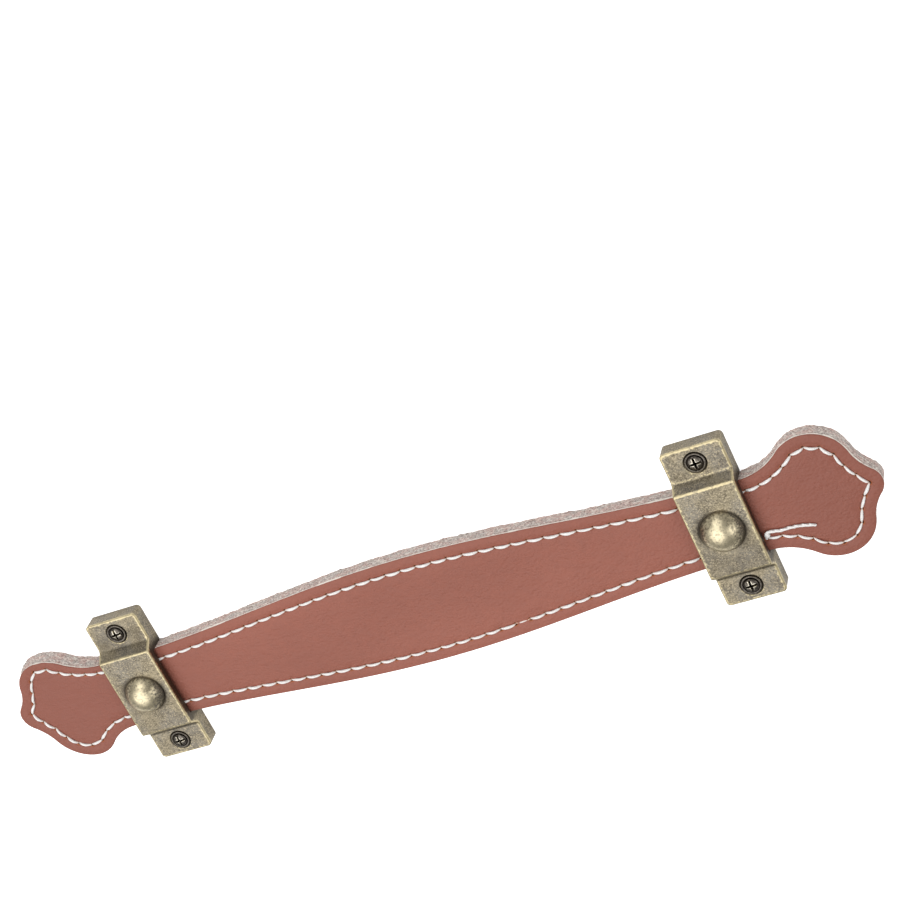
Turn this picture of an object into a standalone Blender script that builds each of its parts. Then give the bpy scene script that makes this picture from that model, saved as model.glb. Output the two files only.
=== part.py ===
"""Faux leather strap pull: a stitched strap threaded under two cast brass brackets.

Frame: +X along the strap, +Y across it, +Z out of the mounting plane. The brackets' backs lie
at z = 0 and the origin is midway between them. Metres throughout.
"""

import math

import bmesh
import bpy
from mathutils import Matrix, Vector

# Where the brackets stand.
BRACKET_CENTRES = 0.160  # from the middle of one bracket to the middle of the other
STRAP_SHIFT = -0.00056  # how far the strap has crept through its brackets, along X

# The strap's outline, as half widths about its long axis. From the middle out it swells, runs
# through a bracket as a straight neck and ends in a pointed head.
MIDDLE_HALF_WIDTH = 0.0151
NECK_HALF_WIDTH = 0.0100
SWELL_OVERRUN = 0.006  # from a bracket's middle out to the end of the swelling
LEFT_NECK_LENGTH = 0.00327
RIGHT_NECK_LENGTH = 0.00219
LEFT_HEAD_HALF_WIDTH = 0.01557
RIGHT_HEAD_HALF_WIDTH = 0.0165
SHOULDER_SETBACK = 0.01425  # from the strap's tip back to the widest place of its head
SHOULDER_RADIUS = 0.00965
FLARE_RADIUS = 0.0152  # the hollow curve from neck to shoulder
FLANK_RADIUS = 0.01255  # the hollow curve from shoulder to nose
NOSE_RADIUS = 0.0045

# The strap's layers, from the mounting plane up.
STRAP_LIFT = 0.00015
CORE_THICKNESS = 0.0033
BOND_GAP = 0.0001
FACE_THICKNESS = 0.0009
FACE_EDGE_ROUND = 0.00028
LEFT_CORE_FLARE = 0.0007  # the fibre splays out at the foot of the left head's cut edge

# The seam.
SEAM_INSET = 0.0033  # from the strap's edge to the middle of the stitches
STITCH_PITCH = 0.0042
THREAD_RADIUS = 0.00038
STITCH_SINK = 0.0001  # the thread's middle below the face at a needle hole
STITCH_RISE = 0.00025  # and above the face along a stitch
THREAD_CLEARANCE = 0.00012  # between a thread and the floor of its channel
THREAD_SIDE_CLEARANCE = 0.0003
BOBBIN_RADIUS = 0.0003
BOBBIN_SWING = 0.00006
SEAM_END_GAP = 0.00095  # where the seam comes round again to its first needle hole

# The loose end of the needle thread, from its cut end back to the first needle hole. A point is
# measured along X from the right bracket's side and along Y from the seam at the neck.
TAIL_POINTS = (
    (0.0124, 0.0003),
    (0.0112, 0.0007),
    (0.0097, 0.0011),
    (0.0072, 0.0014),
    (0.0047, 0.0013),
    (0.0030, 0.0015),
    (0.0017, 0.0018),
    (0.0008, 0.0014),
    (0.0005, 0.0006),
)
TAIL_LIFT = 0.00005  # between the loose end and the face it lies on
KNOT_POINTS = 3  # how many of the last tail points lie in the knot
KNOT_WIDENING = 1.5
FIRST_HOLE_OFFSET = 0.0004  # from the right bracket's side to the first needle hole

# The brackets.
BRACKET_WIDTH = 0.0152
FOOT_LENGTH = 0.01051
FOOT_HEIGHT = 0.0045
STRAP_SIDE_CLEARANCE = 0.0012
STRAP_TOP_CLEARANCE = 0.00015
BRIDGE_THICKNESS = 0.00235
BRIDGE_SHOULDER = 0.00063  # flat of the bridge's top beyond the channel's wall
STEP_RUN = 0.00191
PLAN_CORNER_RADIUS = 0.0008
EDGE_ROUND = 0.0003
DOME_RADIUS = 0.00575
DOME_HEIGHT = 0.0037
DOME_GROOVE_WIDTH = 0.00045
DOME_GROOVE_DEPTH = 0.0003
DOME_ROOT = 0.0006  # how far the dome reaches into the bridge below its groove

# The screws.
SCREW_SETBACK = 0.00633  # from the channel's wall to the screw's axis
SCREW_HEAD_RADIUS = 0.00268
SCREW_RIM_HEIGHT = 0.00022
SCREW_RIM_WIDTH = 0.00052
SCREW_RIM_ROUND = 0.0001  # how far the rim's outer edge slopes in
SCREW_GROOVE_WIDTH = 0.00013  # of the flat groove between rim and dome, and of its sloped wall
SCREW_GROOVE_DEPTH = 0.00011
SCREW_DOME_HEIGHT = 0.00085
SHANK_RADIUS = 0.00145
SCREW_LENGTH = 0.012  # from the top of the bracket's foot to the screw's point
SCREW_POINT_LENGTH = 0.0032
SCREW_CLEARANCE = 0.0002
RECESS_RADIUS = 0.00178
RECESS_WIDTH = 0.0007
RECESS_DEPTH = 0.0013
RECESS_TAPER = 0.4  # the recess's reach at its floor, as a share of that at its mouth
RECESS_TURN = math.radians(-15)

# How finely the curves are cut. A thread's roundness is its curve's bevel resolution.
SWELL_STEPS = 17
FLARE_STEPS = 6
SHOULDER_STEPS = 9
FLANK_STEPS = 4
NOSE_STEPS = 3
ROUND_SEGMENTS = 28
HOLE_SEGMENTS = 20
DOME_STEPS = 6
SCREW_DOME_STEPS = 3
CORNER_STEPS = 3
EDGE_STEPS = 2
STITCH_STEPS = 3
NEEDLE_THREAD_ROUNDNESS = 1
BOBBIN_STEPS = 2
BOBBIN_THREAD_ROUNDNESS = 0
SHARP_ANGLE = math.radians(35)  # edges that turn more than this stay crisp
MERGE_DISTANCE = 1e-6
WALL_LEAN = 0.25  # a cast face whose normal rises less than this is a wall, not a top

# Heights and widths that follow from those above.
CORE_TOP = STRAP_LIFT + CORE_THICKNESS
FACE_BASE = CORE_TOP + BOND_GAP
FACE_TOP = FACE_BASE + FACE_THICKNESS
STITCH_TOP = FACE_TOP + STITCH_RISE + THREAD_RADIUS
CHANNEL_HALF_WIDTH = NECK_HALF_WIDTH + STRAP_SIDE_CLEARANCE
CHANNEL_CEILING = STITCH_TOP + STRAP_TOP_CLEARANCE
BRIDGE_TOP = CHANNEL_CEILING + BRIDGE_THICKNESS
BRACKET_HALF_LENGTH = CHANNEL_HALF_WIDTH + FOOT_LENGTH
BRACKET_HALF_WIDTH = BRACKET_WIDTH / 2
SCREW_Y = CHANNEL_HALF_WIDTH + SCREW_SETBACK
SWELL_LENGTH = BRACKET_CENTRES + 2 * SWELL_OVERRUN
SIDES = {"left": -1, "right": 1}
ROWS = {"upper": 1, "lower": -1}
CUTTER_MARGIN = 0.001  # how far a cutter stands clear of the face it cuts
FULL_TURN = 2 * math.pi


def material(name, colour, roughness, metallic):
    made = bpy.data.materials.new(name)
    made.use_nodes = True
    shader = made.node_tree.nodes["Principled BSDF"]
    shader.inputs["Base Color"].default_value = (*colour, 1.0)
    shader.inputs["Roughness"].default_value = roughness
    shader.inputs["Metallic"].default_value = metallic
    return made


def link(name, data):
    obj = bpy.data.objects.new(name, data)
    bpy.context.scene.collection.objects.link(obj)
    return obj


def object_from(bm, name, finish=None):
    """Puts a finished bmesh into a new object, its faces outwards and its round parts smooth."""
    bmesh.ops.recalc_face_normals(bm, faces=bm.faces)
    if bm.calc_volume(signed=True) < 0:
        bmesh.ops.reverse_faces(bm, faces=bm.faces)
    mesh = bpy.data.meshes.new(name)
    bm.to_mesh(mesh)
    bm.free()
    mesh.shade_smooth()
    mesh.set_sharp_from_angle(angle=SHARP_ANGLE)
    if finish:
        mesh.materials.append(finish)
    return link(name, mesh)


def extrude(bm, face, push):
    """Extrudes one face by a vector and returns the face at its far end."""
    grown = bmesh.ops.extrude_face_region(bm, geom=[face])["geom"]
    moved = [item for item in grown if isinstance(item, bmesh.types.BMVert)]
    bmesh.ops.translate(bm, verts=moved, vec=push)
    if any(len(edge.link_faces) > 2 for edge in face.edges):
        bmesh.ops.delete(bm, geom=[face], context="FACES_ONLY")
    return next(item for item in grown if isinstance(item, bmesh.types.BMFace))


def revolve(profile, segments):
    """A solid turned about Z from a profile of (radius, height) points that ends on the axis."""
    bm = bmesh.new()
    verts = [bm.verts.new((radius, 0.0, height)) for radius, height in profile]
    edges = [bm.edges.new(pair) for pair in zip(verts, verts[1:])]
    bmesh.ops.spin(
        bm, geom=verts + edges, axis=(0, 0, 1), cent=(0, 0, 0), angle=FULL_TURN,
        steps=segments, use_merge=True,
    )
    bmesh.ops.remove_doubles(bm, verts=bm.verts, dist=MERGE_DISTANCE)
    return bm


def arc(centre, radius, start, end, steps, hollow=False):
    """Points with their outward normals along an arc, without its first point."""
    found = []
    for step in range(1, steps + 1):
        angle = start + (end - start) * step / steps
        spoke = Vector((math.cos(angle), math.sin(angle)))
        found.append((centre + spoke * radius, -spoke if hollow else spoke))
    return found


def outer_crossing(a, radius_a, b, radius_b):
    """Where two circles cross, at the crossing that lies further out from the strap's middle."""
    between = b - a
    gap = between.length
    along = (radius_a**2 - radius_b**2 + gap**2) / (2 * gap)
    across = Vector((-between.y, between.x)) / gap * math.sqrt(radius_a**2 - along**2)
    foot = a + between / gap * along
    return max(foot + across, foot - across, key=lambda place: place.x + place.y)


def bearing(a, b):
    return math.atan2(b.y - a.y, b.x - a.x)


def quarter_edge(neck_length, head_half_width):
    """The strap's upper edge from its middle to one tip, as points with outward normals."""
    swell = MIDDLE_HALF_WIDTH - NECK_HALF_WIDTH
    edge = []
    for step in range(SWELL_STEPS):
        turn = math.pi / 2 * step / (SWELL_STEPS - 1)
        slope = -swell * math.sin(2 * turn) * math.pi / SWELL_LENGTH
        along = SWELL_LENGTH / math.pi * turn
        place = Vector((along, NECK_HALF_WIDTH + swell * math.cos(turn) ** 2))
        edge.append((place, Vector((-slope, 1.0)).normalized()))

    flare = Vector((SWELL_LENGTH / 2 + neck_length, NECK_HALF_WIDTH + FLARE_RADIUS))
    drop = flare.y - (head_half_width - SHOULDER_RADIUS)
    run = math.sqrt((FLARE_RADIUS + SHOULDER_RADIUS) ** 2 - drop**2)
    shoulder = flare + Vector((run, -drop))
    nose = Vector((shoulder.x + SHOULDER_SETBACK - NOSE_RADIUS, 0.0))
    flank = outer_crossing(
        shoulder, SHOULDER_RADIUS + FLANK_RADIUS, nose, NOSE_RADIUS + FLANK_RADIUS
    )

    edge.append((Vector((flare.x, NECK_HALF_WIDTH)), Vector((0.0, 1.0))))
    edge += arc(
        flare, FLARE_RADIUS, -math.pi / 2, bearing(flare, shoulder), FLARE_STEPS, hollow=True
    )
    edge += arc(
        shoulder, SHOULDER_RADIUS, bearing(shoulder, flare), bearing(shoulder, flank), SHOULDER_STEPS
    )
    edge += arc(
        flank, FLANK_RADIUS, bearing(flank, shoulder) % FULL_TURN, bearing(flank, nose) % FULL_TURN,
        FLANK_STEPS, hollow=True,
    )
    edge += arc(nose, NOSE_RADIUS, bearing(nose, flank), 0.0, NOSE_STEPS)
    return edge


def strap_edge():
    """The strap's whole edge, once round against the clock from its middle on the lower side."""
    right = quarter_edge(RIGHT_NECK_LENGTH, RIGHT_HEAD_HALF_WIDTH)
    left = quarter_edge(LEFT_NECK_LENGTH, LEFT_HEAD_HALF_WIDTH)

    def turned(points, sign_x, sign_y):
        return [
            (Vector((p.x * sign_x + STRAP_SHIFT, p.y * sign_y)), Vector((n.x * sign_x, n.y * sign_y)))
            for p, n in points
        ]

    loop = turned(right, 1, -1)
    loop += turned(right, 1, 1)[-2::-1]
    loop += turned(left, -1, 1)[1:]
    loop += turned(left, -1, -1)[-2:0:-1]
    return loop


def inset_loop(inset):
    return [place - normal * inset for place, normal in strap_edge()]


def outline_slab(outline, base, top):
    """A closed slab over an outline; returns its bmesh, its lower rim and its two flat faces."""
    bm = bmesh.new()
    rim = [bm.verts.new((place.x, place.y, base)) for place in outline]
    floor = bm.faces.new(rim)
    roof = extrude(bm, floor, (0, 0, top - base))
    return bm, rim, floor, roof


def sink_channel(bm, face, edge_inset, half_width, depth):
    """Sinks the seam's channel into a flat face whose rim lies edge_inset inside the strap's edge.

    A positive depth cuts down into the strap's top, a negative one up into its underside.
    """
    bmesh.ops.inset_region(
        bm, faces=[face], thickness=SEAM_INSET - half_width - edge_inset, use_even_offset=True
    )
    floor = extrude(bm, face, (0, 0, -depth))
    bmesh.ops.inset_region(bm, faces=[floor], thickness=2 * half_width, use_even_offset=True)
    return extrude(bm, floor, (0, 0, depth))


def make_strap_face(finish):
    """The thin leathercloth skin, with a rounded top edge and the channel that the seam sinks in."""
    bm, _, _, roof = outline_slab(inset_loop(0), FACE_BASE, FACE_TOP - FACE_EDGE_ROUND)
    chamfer = FACE_EDGE_ROUND * (1 - math.sqrt(0.5))
    for width, rise in ((chamfer, FACE_EDGE_ROUND - chamfer), (FACE_EDGE_ROUND - chamfer, chamfer)):
        bmesh.ops.inset_region(bm, faces=[roof], thickness=width, use_even_offset=True)
        bmesh.ops.translate(bm, verts=roof.verts, vec=(0, 0, rise))
    half_width = THREAD_RADIUS + THREAD_SIDE_CLEARANCE
    depth = STITCH_SINK + THREAD_RADIUS + THREAD_CLEARANCE
    sink_channel(bm, roof, FACE_EDGE_ROUND, half_width, depth)
    return object_from(bm, "strap_face", finish)


def make_strap_core(finish):
    """The pressed fibre body, splayed at the foot of its left head, with the underside channel."""
    bm, rim, floor, _ = outline_slab(inset_loop(0), STRAP_LIFT, CORE_TOP)
    half_width = BOBBIN_RADIUS + THREAD_SIDE_CLEARANCE
    depth = 2 * (BOBBIN_RADIUS + BOBBIN_SWING + THREAD_CLEARANCE)
    sink_channel(bm, floor, 0, half_width, -depth)
    left_neck = STRAP_SHIFT - SWELL_LENGTH / 2
    for vert, (place, normal) in zip(rim, strap_edge()):
        if place.x < left_neck:
            blend = min(1.0, (left_neck - place.x) / FLARE_RADIUS)
            vert.co.xy = place + normal * LEFT_CORE_FLARE * blend
    return object_from(bm, "strap_core", finish)


class SeamLine:
    """The line that the stitches follow, walked by its length."""

    def __init__(self):
        loop = inset_loop(SEAM_INSET)
        self.points = loop + loop[:1]
        self.marks = [0.0]
        for a, b in zip(self.points, self.points[1:]):
            self.marks.append(self.marks[-1] + (b - a).length)
        self.length = self.marks[-1]

    def at(self, distance):
        distance %= self.length
        for index in range(len(self.marks) - 1):
            if distance <= self.marks[index + 1]:
                break
        share = (distance - self.marks[index]) / (self.marks[index + 1] - self.marks[index])
        return self.points[index].lerp(self.points[index + 1], share)

    def distance_to_x(self, x):
        """How far along the first, lower, stretch the line comes to this x."""
        for index, (a, b) in enumerate(zip(self.points, self.points[1:])):
            if a.x <= x <= b.x:
                return self.marks[index] + (x - a.x) / (b.x - a.x) * (b - a).length
        raise ValueError("the seam doesn't reach that far")


def stitch_plan(line):
    """The first needle hole's place along the seam, the number of stitches and their real pitch."""
    first = line.distance_to_x(BRACKET_CENTRES / 2 + BRACKET_HALF_WIDTH + FIRST_HOLE_OFFSET)
    count = round(line.length / STITCH_PITCH)
    return first, count, line.length / count


def thread_object(name, points, radii, radius, roundness, finish):
    """A thread as a tube through its points, with closed ends."""
    curve = bpy.data.curves.new(name, "CURVE")
    curve.dimensions = "3D"
    curve.bevel_depth = radius
    curve.bevel_resolution = roundness
    curve.use_fill_caps = True
    spline = curve.splines.new("POLY")
    spline.points.add(len(points) - 1)
    for slot, place, widening in zip(spline.points, points, radii):
        slot.co = (*place, 1.0)
        slot.radius = widening
    curve.materials.append(finish)
    return link(name, curve)


def make_needle_thread(finish):
    """The white thread on the face: its loose end, its knot, then a stitch after each needle hole."""
    line = SeamLine()
    first, count, pitch = stitch_plan(line)
    bracket_side = BRACKET_CENTRES / 2 + BRACKET_HALF_WIDTH
    seam_y = -(NECK_HALF_WIDTH - SEAM_INSET)
    lying = FACE_TOP + THREAD_RADIUS + TAIL_LIFT
    points = [Vector((bracket_side + x, seam_y + y, lying)) for x, y in TAIL_POINTS]
    knot_height = FACE_TOP + THREAD_RADIUS * KNOT_WIDENING + TAIL_LIFT
    for place in points[-KNOT_POINTS:]:
        place.z = knot_height
    radii = [1.0] * (len(points) - KNOT_POINTS) + [KNOT_WIDENING] * KNOT_POINTS
    for step in range(count * STITCH_STEPS):
        distance = step * pitch / STITCH_STEPS
        at_hole = step % STITCH_STEPS == 0
        height = FACE_TOP - STITCH_SINK if at_hole else FACE_TOP + STITCH_RISE
        points.append(Vector((*line.at(first + distance), height)))
        radii.append(1.0)
    points[-1] = Vector((*line.at(first - SEAM_END_GAP), FACE_TOP - STITCH_SINK))
    return thread_object(
        "needle_thread", points, radii, THREAD_RADIUS, NEEDLE_THREAD_ROUNDNESS, finish
    )


def make_bobbin_thread(finish):
    """The thread that locks the stitches from below, lying in the core's channel."""
    line = SeamLine()
    first, count, pitch = stitch_plan(line)
    middle = STRAP_LIFT + BOBBIN_RADIUS + BOBBIN_SWING + THREAD_CLEARANCE
    points = []
    for step in range(count * BOBBIN_STEPS):
        swing = BOBBIN_SWING if step % BOBBIN_STEPS == 0 else -BOBBIN_SWING
        distance = step * pitch / BOBBIN_STEPS
        points.append(Vector((*line.at(first + distance), middle + swing)))
    points[-1] = Vector((*line.at(first - SEAM_END_GAP), middle + BOBBIN_SWING))
    radii = [1.0] * len(points)
    return thread_object(
        "bobbin_thread", points, radii, BOBBIN_RADIUS, BOBBIN_THREAD_ROUNDNESS, finish
    )


def worn_round(edge):
    """Whether a casting's edge is rounded: the rims of its tops, and the head and foot of each step."""
    lower, upper = sorted(face.normal.z for face in edge.link_faces)
    rim = abs(lower) < WALL_LEAN < upper
    return rim or (lower > WALL_LEAN and edge.calc_face_angle() > SHARP_ANGLE)


def bracket_casting():
    """One bracket's casting without its dome and holes: a stepped bridge between two feet."""
    step_foot = CHANNEL_HALF_WIDTH + BRIDGE_SHOULDER + STEP_RUN
    half_section = (
        (CHANNEL_HALF_WIDTH, CHANNEL_CEILING),
        (CHANNEL_HALF_WIDTH, 0.0),
        (BRACKET_HALF_LENGTH, 0.0),
        (BRACKET_HALF_LENGTH, FOOT_HEIGHT),
        (step_foot, FOOT_HEIGHT),
        (CHANNEL_HALF_WIDTH + BRIDGE_SHOULDER, BRIDGE_TOP),
    )
    section = list(half_section) + [(-y, z) for y, z in reversed(half_section)]
    bm = bmesh.new()
    side = bm.faces.new([bm.verts.new((-BRACKET_HALF_WIDTH, y, z)) for y, z in section])
    extrude(bm, side, (BRACKET_WIDTH, 0, 0))
    bmesh.ops.recalc_face_normals(bm, faces=bm.faces)

    corners = [
        edge for edge in bm.edges
        if all(abs(vert.co.y) > BRACKET_HALF_LENGTH - EDGE_ROUND for vert in edge.verts)
        and abs(edge.verts[0].co.z - edge.verts[1].co.z) > EDGE_ROUND
    ]
    bmesh.ops.bevel(
        bm, geom=corners, offset=PLAN_CORNER_RADIUS, offset_type="OFFSET", segments=CORNER_STEPS,
        profile=0.5, affect="EDGES", material=-1,
    )
    bm.normal_update()
    rims = [edge for edge in bm.edges if worn_round(edge)]
    bmesh.ops.bevel(
        bm, geom=rims, offset=EDGE_ROUND, offset_type="OFFSET", segments=EDGE_STEPS,
        profile=0.5, affect="EDGES", material=-1, clamp_overlap=True,
    )
    return bm


def dome_profile():
    """The dome's section from its crown to its foot, then down its root to the axis."""
    ball = (DOME_RADIUS**2 + DOME_HEIGHT**2) / (2 * DOME_HEIGHT)
    reach = math.asin(DOME_RADIUS / ball)
    crown = BRIDGE_TOP + DOME_HEIGHT
    points = []
    for step in range(DOME_STEPS + 1):
        angle = reach * step / DOME_STEPS
        points.append((ball * math.sin(angle), crown - ball * (1 - math.cos(angle))))
    root = BRIDGE_TOP - DOME_GROOVE_DEPTH - DOME_ROOT
    return points + [(DOME_RADIUS, root), (0.0, root)]


def groove_profile():
    rim = DOME_RADIUS + DOME_GROOVE_WIDTH
    floor = BRIDGE_TOP - DOME_GROOVE_DEPTH
    top = BRIDGE_TOP + CUTTER_MARGIN
    return [(0.0, top), (rim, top), (rim, floor), (0.0, floor)]


def screw_hole_profile():
    """The countersunk hole through a foot, SCREW_CLEARANCE wider than its screw all round."""
    head = SCREW_HEAD_RADIUS + SCREW_CLEARANCE
    bore = SHANK_RADIUS + SCREW_CLEARANCE
    top = FOOT_HEIGHT + CUTTER_MARGIN
    seat = FOOT_HEIGHT - (head - bore)
    return [(0.0, top), (head, top), (head, FOOT_HEIGHT), (bore, seat), (bore, -CUTTER_MARGIN),
            (0.0, -CUTTER_MARGIN)]


def screw_profile():
    """A countersunk screw's section: a domed middle inside a flat rim, the cone, shank and point."""
    dome_radius = SCREW_HEAD_RADIUS - SCREW_RIM_WIDTH
    rim_top = FOOT_HEIGHT + SCREW_RIM_HEIGHT
    groove = rim_top - SCREW_GROOVE_DEPTH
    crown = FOOT_HEIGHT + SCREW_DOME_HEIGHT
    dome = []
    for step in range(SCREW_DOME_STEPS + 1):
        turn = math.pi / 2 * step / SCREW_DOME_STEPS
        dome.append((dome_radius * math.sin(turn), rim_top + (crown - rim_top) * math.cos(turn)))
    neck = FOOT_HEIGHT - SCREW_CLEARANCE - (SCREW_HEAD_RADIUS - SHANK_RADIUS)
    tip = FOOT_HEIGHT - SCREW_LENGTH
    return dome + [
        (dome_radius, groove),
        (dome_radius + SCREW_GROOVE_WIDTH, groove),
        (dome_radius + 2 * SCREW_GROOVE_WIDTH, rim_top),
        (SCREW_HEAD_RADIUS - SCREW_RIM_ROUND, rim_top),
        (SCREW_HEAD_RADIUS, FOOT_HEIGHT - SCREW_CLEARANCE),
        (SHANK_RADIUS, neck),
        (SHANK_RADIUS, tip + SCREW_POINT_LENGTH),
        (0.0, tip),
    ]


def recess_cutter():
    """The cross recess as a plus-shaped plug that narrows to its floor."""
    crown = FOOT_HEIGHT + SCREW_DOME_HEIGHT
    half = RECESS_WIDTH / 2
    arm = [(RECESS_RADIUS, -half), (RECESS_RADIUS, half), (half, half)]
    outline = []
    for quarter in range(4):
        turn = Matrix.Rotation(quarter * math.pi / 2 + RECESS_TURN, 2)
        outline += [turn @ Vector(point) for point in arm]
    bm = bmesh.new()
    mouth = bm.faces.new([bm.verts.new((*point, crown + CUTTER_MARGIN)) for point in outline])
    collar = extrude(bm, mouth, (0, 0, -CUTTER_MARGIN))
    floor = extrude(bm, collar, (0, 0, -RECESS_DEPTH))
    centre = Matrix.Translation((0, 0, -crown))
    bmesh.ops.scale(bm, verts=floor.verts, vec=(RECESS_TAPER, RECESS_TAPER, 1), space=centre)
    return bm


def add_boolean(obj, operation, tool):
    """Joins a tool to a piece by a Boolean and hides the tool from the finished model."""
    cut = obj.modifiers.new(tool.name, "BOOLEAN")
    cut.operation = operation
    cut.object = tool
    tool.hide_render = True
    tool.display_type = "WIRE"
    tool.parent = obj.parent


def make_bracket(side, anchor, finish):
    """One bracket with its dome standing in a groove and a countersunk hole in each foot."""
    bracket = object_from(bracket_casting(), f"{side}_bracket", finish)
    bracket.parent = anchor
    groove = object_from(revolve(groove_profile(), ROUND_SEGMENTS), f"{side}_groove_cutter")
    dome = object_from(revolve(dome_profile(), ROUND_SEGMENTS), f"{side}_dome_form", finish)
    add_boolean(bracket, "DIFFERENCE", groove)
    add_boolean(bracket, "UNION", dome)
    for row, sign in ROWS.items():
        hole = object_from(revolve(screw_hole_profile(), HOLE_SEGMENTS), f"{side}_{row}_hole_cutter")
        add_boolean(bracket, "DIFFERENCE", hole)
        hole.location.y = sign * SCREW_Y
    return bracket


def make_screw(side, row, anchor, finish):
    screw = object_from(revolve(screw_profile(), HOLE_SEGMENTS), f"{side}_{row}_screw", finish)
    screw.parent = anchor
    recess = object_from(recess_cutter(), f"{side}_{row}_recess_cutter")
    add_boolean(screw, "DIFFERENCE", recess)
    for piece in (screw, recess):
        piece.location.y = ROWS[row] * SCREW_Y
    return screw


def main():
    for obj in list(bpy.data.objects):
        bpy.data.objects.remove(obj)
    leathercloth = material("brown_leathercloth", (0.31, 0.13, 0.095), 0.5, 0.0)
    fibre = material("pressed_fibre", (0.42, 0.34, 0.32), 0.95, 0.0)
    thread = material("white_thread", (0.86, 0.85, 0.82), 0.7, 0.0)
    antique_brass = material("antique_brass", (0.27, 0.23, 0.16), 0.42, 1.0)
    dark_bronze = material("dark_bronze", (0.08, 0.07, 0.055), 0.35, 1.0)

    make_strap_face(leathercloth)
    make_strap_core(fibre)
    make_needle_thread(thread)
    make_bobbin_thread(thread)
    for side, sign in SIDES.items():
        anchor = link(f"{side}_anchor", None)
        anchor.location.x = sign * BRACKET_CENTRES / 2
        make_bracket(side, anchor, antique_brass)
        for row in ROWS:
            make_screw(side, row, anchor, dark_bronze)
    bpy.context.view_layer.update()


main()
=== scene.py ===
# %% [markdown]
# A strap pull is a drawer handle made of a stitched strap. Two cast brackets hold the strap flat
# against the drawer's front, and a wood screw goes through each end of each bracket. The packed
# model already has every piece at its real place and size, so this script only makes the looks:
# finer meshes where the finish needs them, the materials, the floor, the light and the camera.

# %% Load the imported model
import math
import random

import bmesh
import bpy
from mathutils import Matrix, Vector, kdtree, noise


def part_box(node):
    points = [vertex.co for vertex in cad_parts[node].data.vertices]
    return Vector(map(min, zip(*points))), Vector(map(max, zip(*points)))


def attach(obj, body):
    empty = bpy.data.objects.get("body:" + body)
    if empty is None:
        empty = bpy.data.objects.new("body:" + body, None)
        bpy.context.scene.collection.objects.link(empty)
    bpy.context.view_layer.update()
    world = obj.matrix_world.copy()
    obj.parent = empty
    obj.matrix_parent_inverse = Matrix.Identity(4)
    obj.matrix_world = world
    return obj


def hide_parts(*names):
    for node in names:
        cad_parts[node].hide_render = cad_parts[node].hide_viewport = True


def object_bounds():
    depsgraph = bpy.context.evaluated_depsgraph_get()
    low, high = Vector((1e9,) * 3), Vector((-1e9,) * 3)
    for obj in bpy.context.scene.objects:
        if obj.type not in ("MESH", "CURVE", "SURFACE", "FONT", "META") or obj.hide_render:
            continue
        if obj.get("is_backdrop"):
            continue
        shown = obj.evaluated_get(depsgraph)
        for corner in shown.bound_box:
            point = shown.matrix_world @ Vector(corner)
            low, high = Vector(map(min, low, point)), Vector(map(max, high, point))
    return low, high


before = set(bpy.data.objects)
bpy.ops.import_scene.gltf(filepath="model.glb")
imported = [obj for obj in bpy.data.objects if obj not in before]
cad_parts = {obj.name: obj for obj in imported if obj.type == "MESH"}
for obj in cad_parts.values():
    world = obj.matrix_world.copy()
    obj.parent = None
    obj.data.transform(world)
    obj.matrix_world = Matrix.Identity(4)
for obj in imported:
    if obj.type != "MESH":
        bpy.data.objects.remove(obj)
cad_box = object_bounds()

MM = 0.001
print("nodes:", ", ".join(sorted(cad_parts)))

# %% [markdown]
# The camera comes first, because it decides which details matter. It looks down on the pull from
# its upper right, through a long lens, so the far head is hardly smaller than the near one. The
# picture was turned nearly upside down when it was laid out, and the camera's roll repeats that:
# the strap's upper edge faces the camera and yet runs along the top.

# %% Camera
CAMERA_PLACE = Vector((223.41, 240.50, 445.02)) * MM
CAMERA_AIM = Vector((24.71, 36.90, 0.0)) * MM
CAMERA_ROLL = math.radians(-157.9)
LENS = 89.27


def put_in_scene(name, data):
    """A new object with this data, linked to the scene."""
    made = bpy.data.objects.new(name, data)
    bpy.context.scene.collection.objects.link(made)
    return made


camera_data = bpy.data.cameras.new("camera")
camera_data.lens = LENS
camera_data.clip_start = 10 * MM
camera = put_in_scene("camera", camera_data)
turn = (CAMERA_AIM - CAMERA_PLACE).to_track_quat("-Z", "Y").to_matrix().to_4x4()
camera.matrix_world = Matrix.Translation(CAMERA_PLACE) @ turn @ Matrix.Rotation(CAMERA_ROLL, 4, "Z")
bpy.context.scene.camera = camera
print("camera distance:", round((CAMERA_AIM - CAMERA_PLACE).length, 3), "m")

# %% [markdown]
# A node graph written out by hand is long, so one small helper adds a node, sets it up and joins
# it. An input that is given another node's output is linked, and any other value is set on the
# socket itself. Every finish below is built with it.

# %% Helpers for node graphs
def fill_inputs(tree, node, inputs):
    for socket, value in inputs.items():
        if isinstance(value, bpy.types.NodeSocket):
            tree.links.new(value, node.inputs[socket])
        else:
            node.inputs[socket].default_value = value


def put(tree, kind, inputs=None, output=0, **settings):
    """Adds a shader node, sets it, fills its inputs and returns one of its outputs."""
    node = tree.nodes.new("ShaderNode" + kind)
    for name, value in settings.items():
        setattr(node, name, value)
    fill_inputs(tree, node, inputs or {})
    return node.outputs[output]


def math_node(tree, operation, a, b=0.0):
    return put(tree, "Math", {0: a, 1: b}, operation=operation)


def scaled(tree, value, by):
    return math_node(tree, "MULTIPLY", value, by)


def ramp(tree, value, low, high, **settings):
    """0 where the value is at its low end or below, 1 at its high end or above."""
    return put(
        tree, "MapRange", {"Value": value, "From Min": low, "From Max": high}, **settings
    )


def blend_colours(tree, share, under, over):
    """Mixes two colours by a mask; a colour is an (r, g, b) or another node's output."""
    def ready(colour):
        return colour if isinstance(colour, bpy.types.NodeSocket) else (*colour, 1.0)

    return put(
        tree, "Mix", {0: share, 6: ready(under), 7: ready(over)}, output=2, data_type="RGBA"
    )


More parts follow.
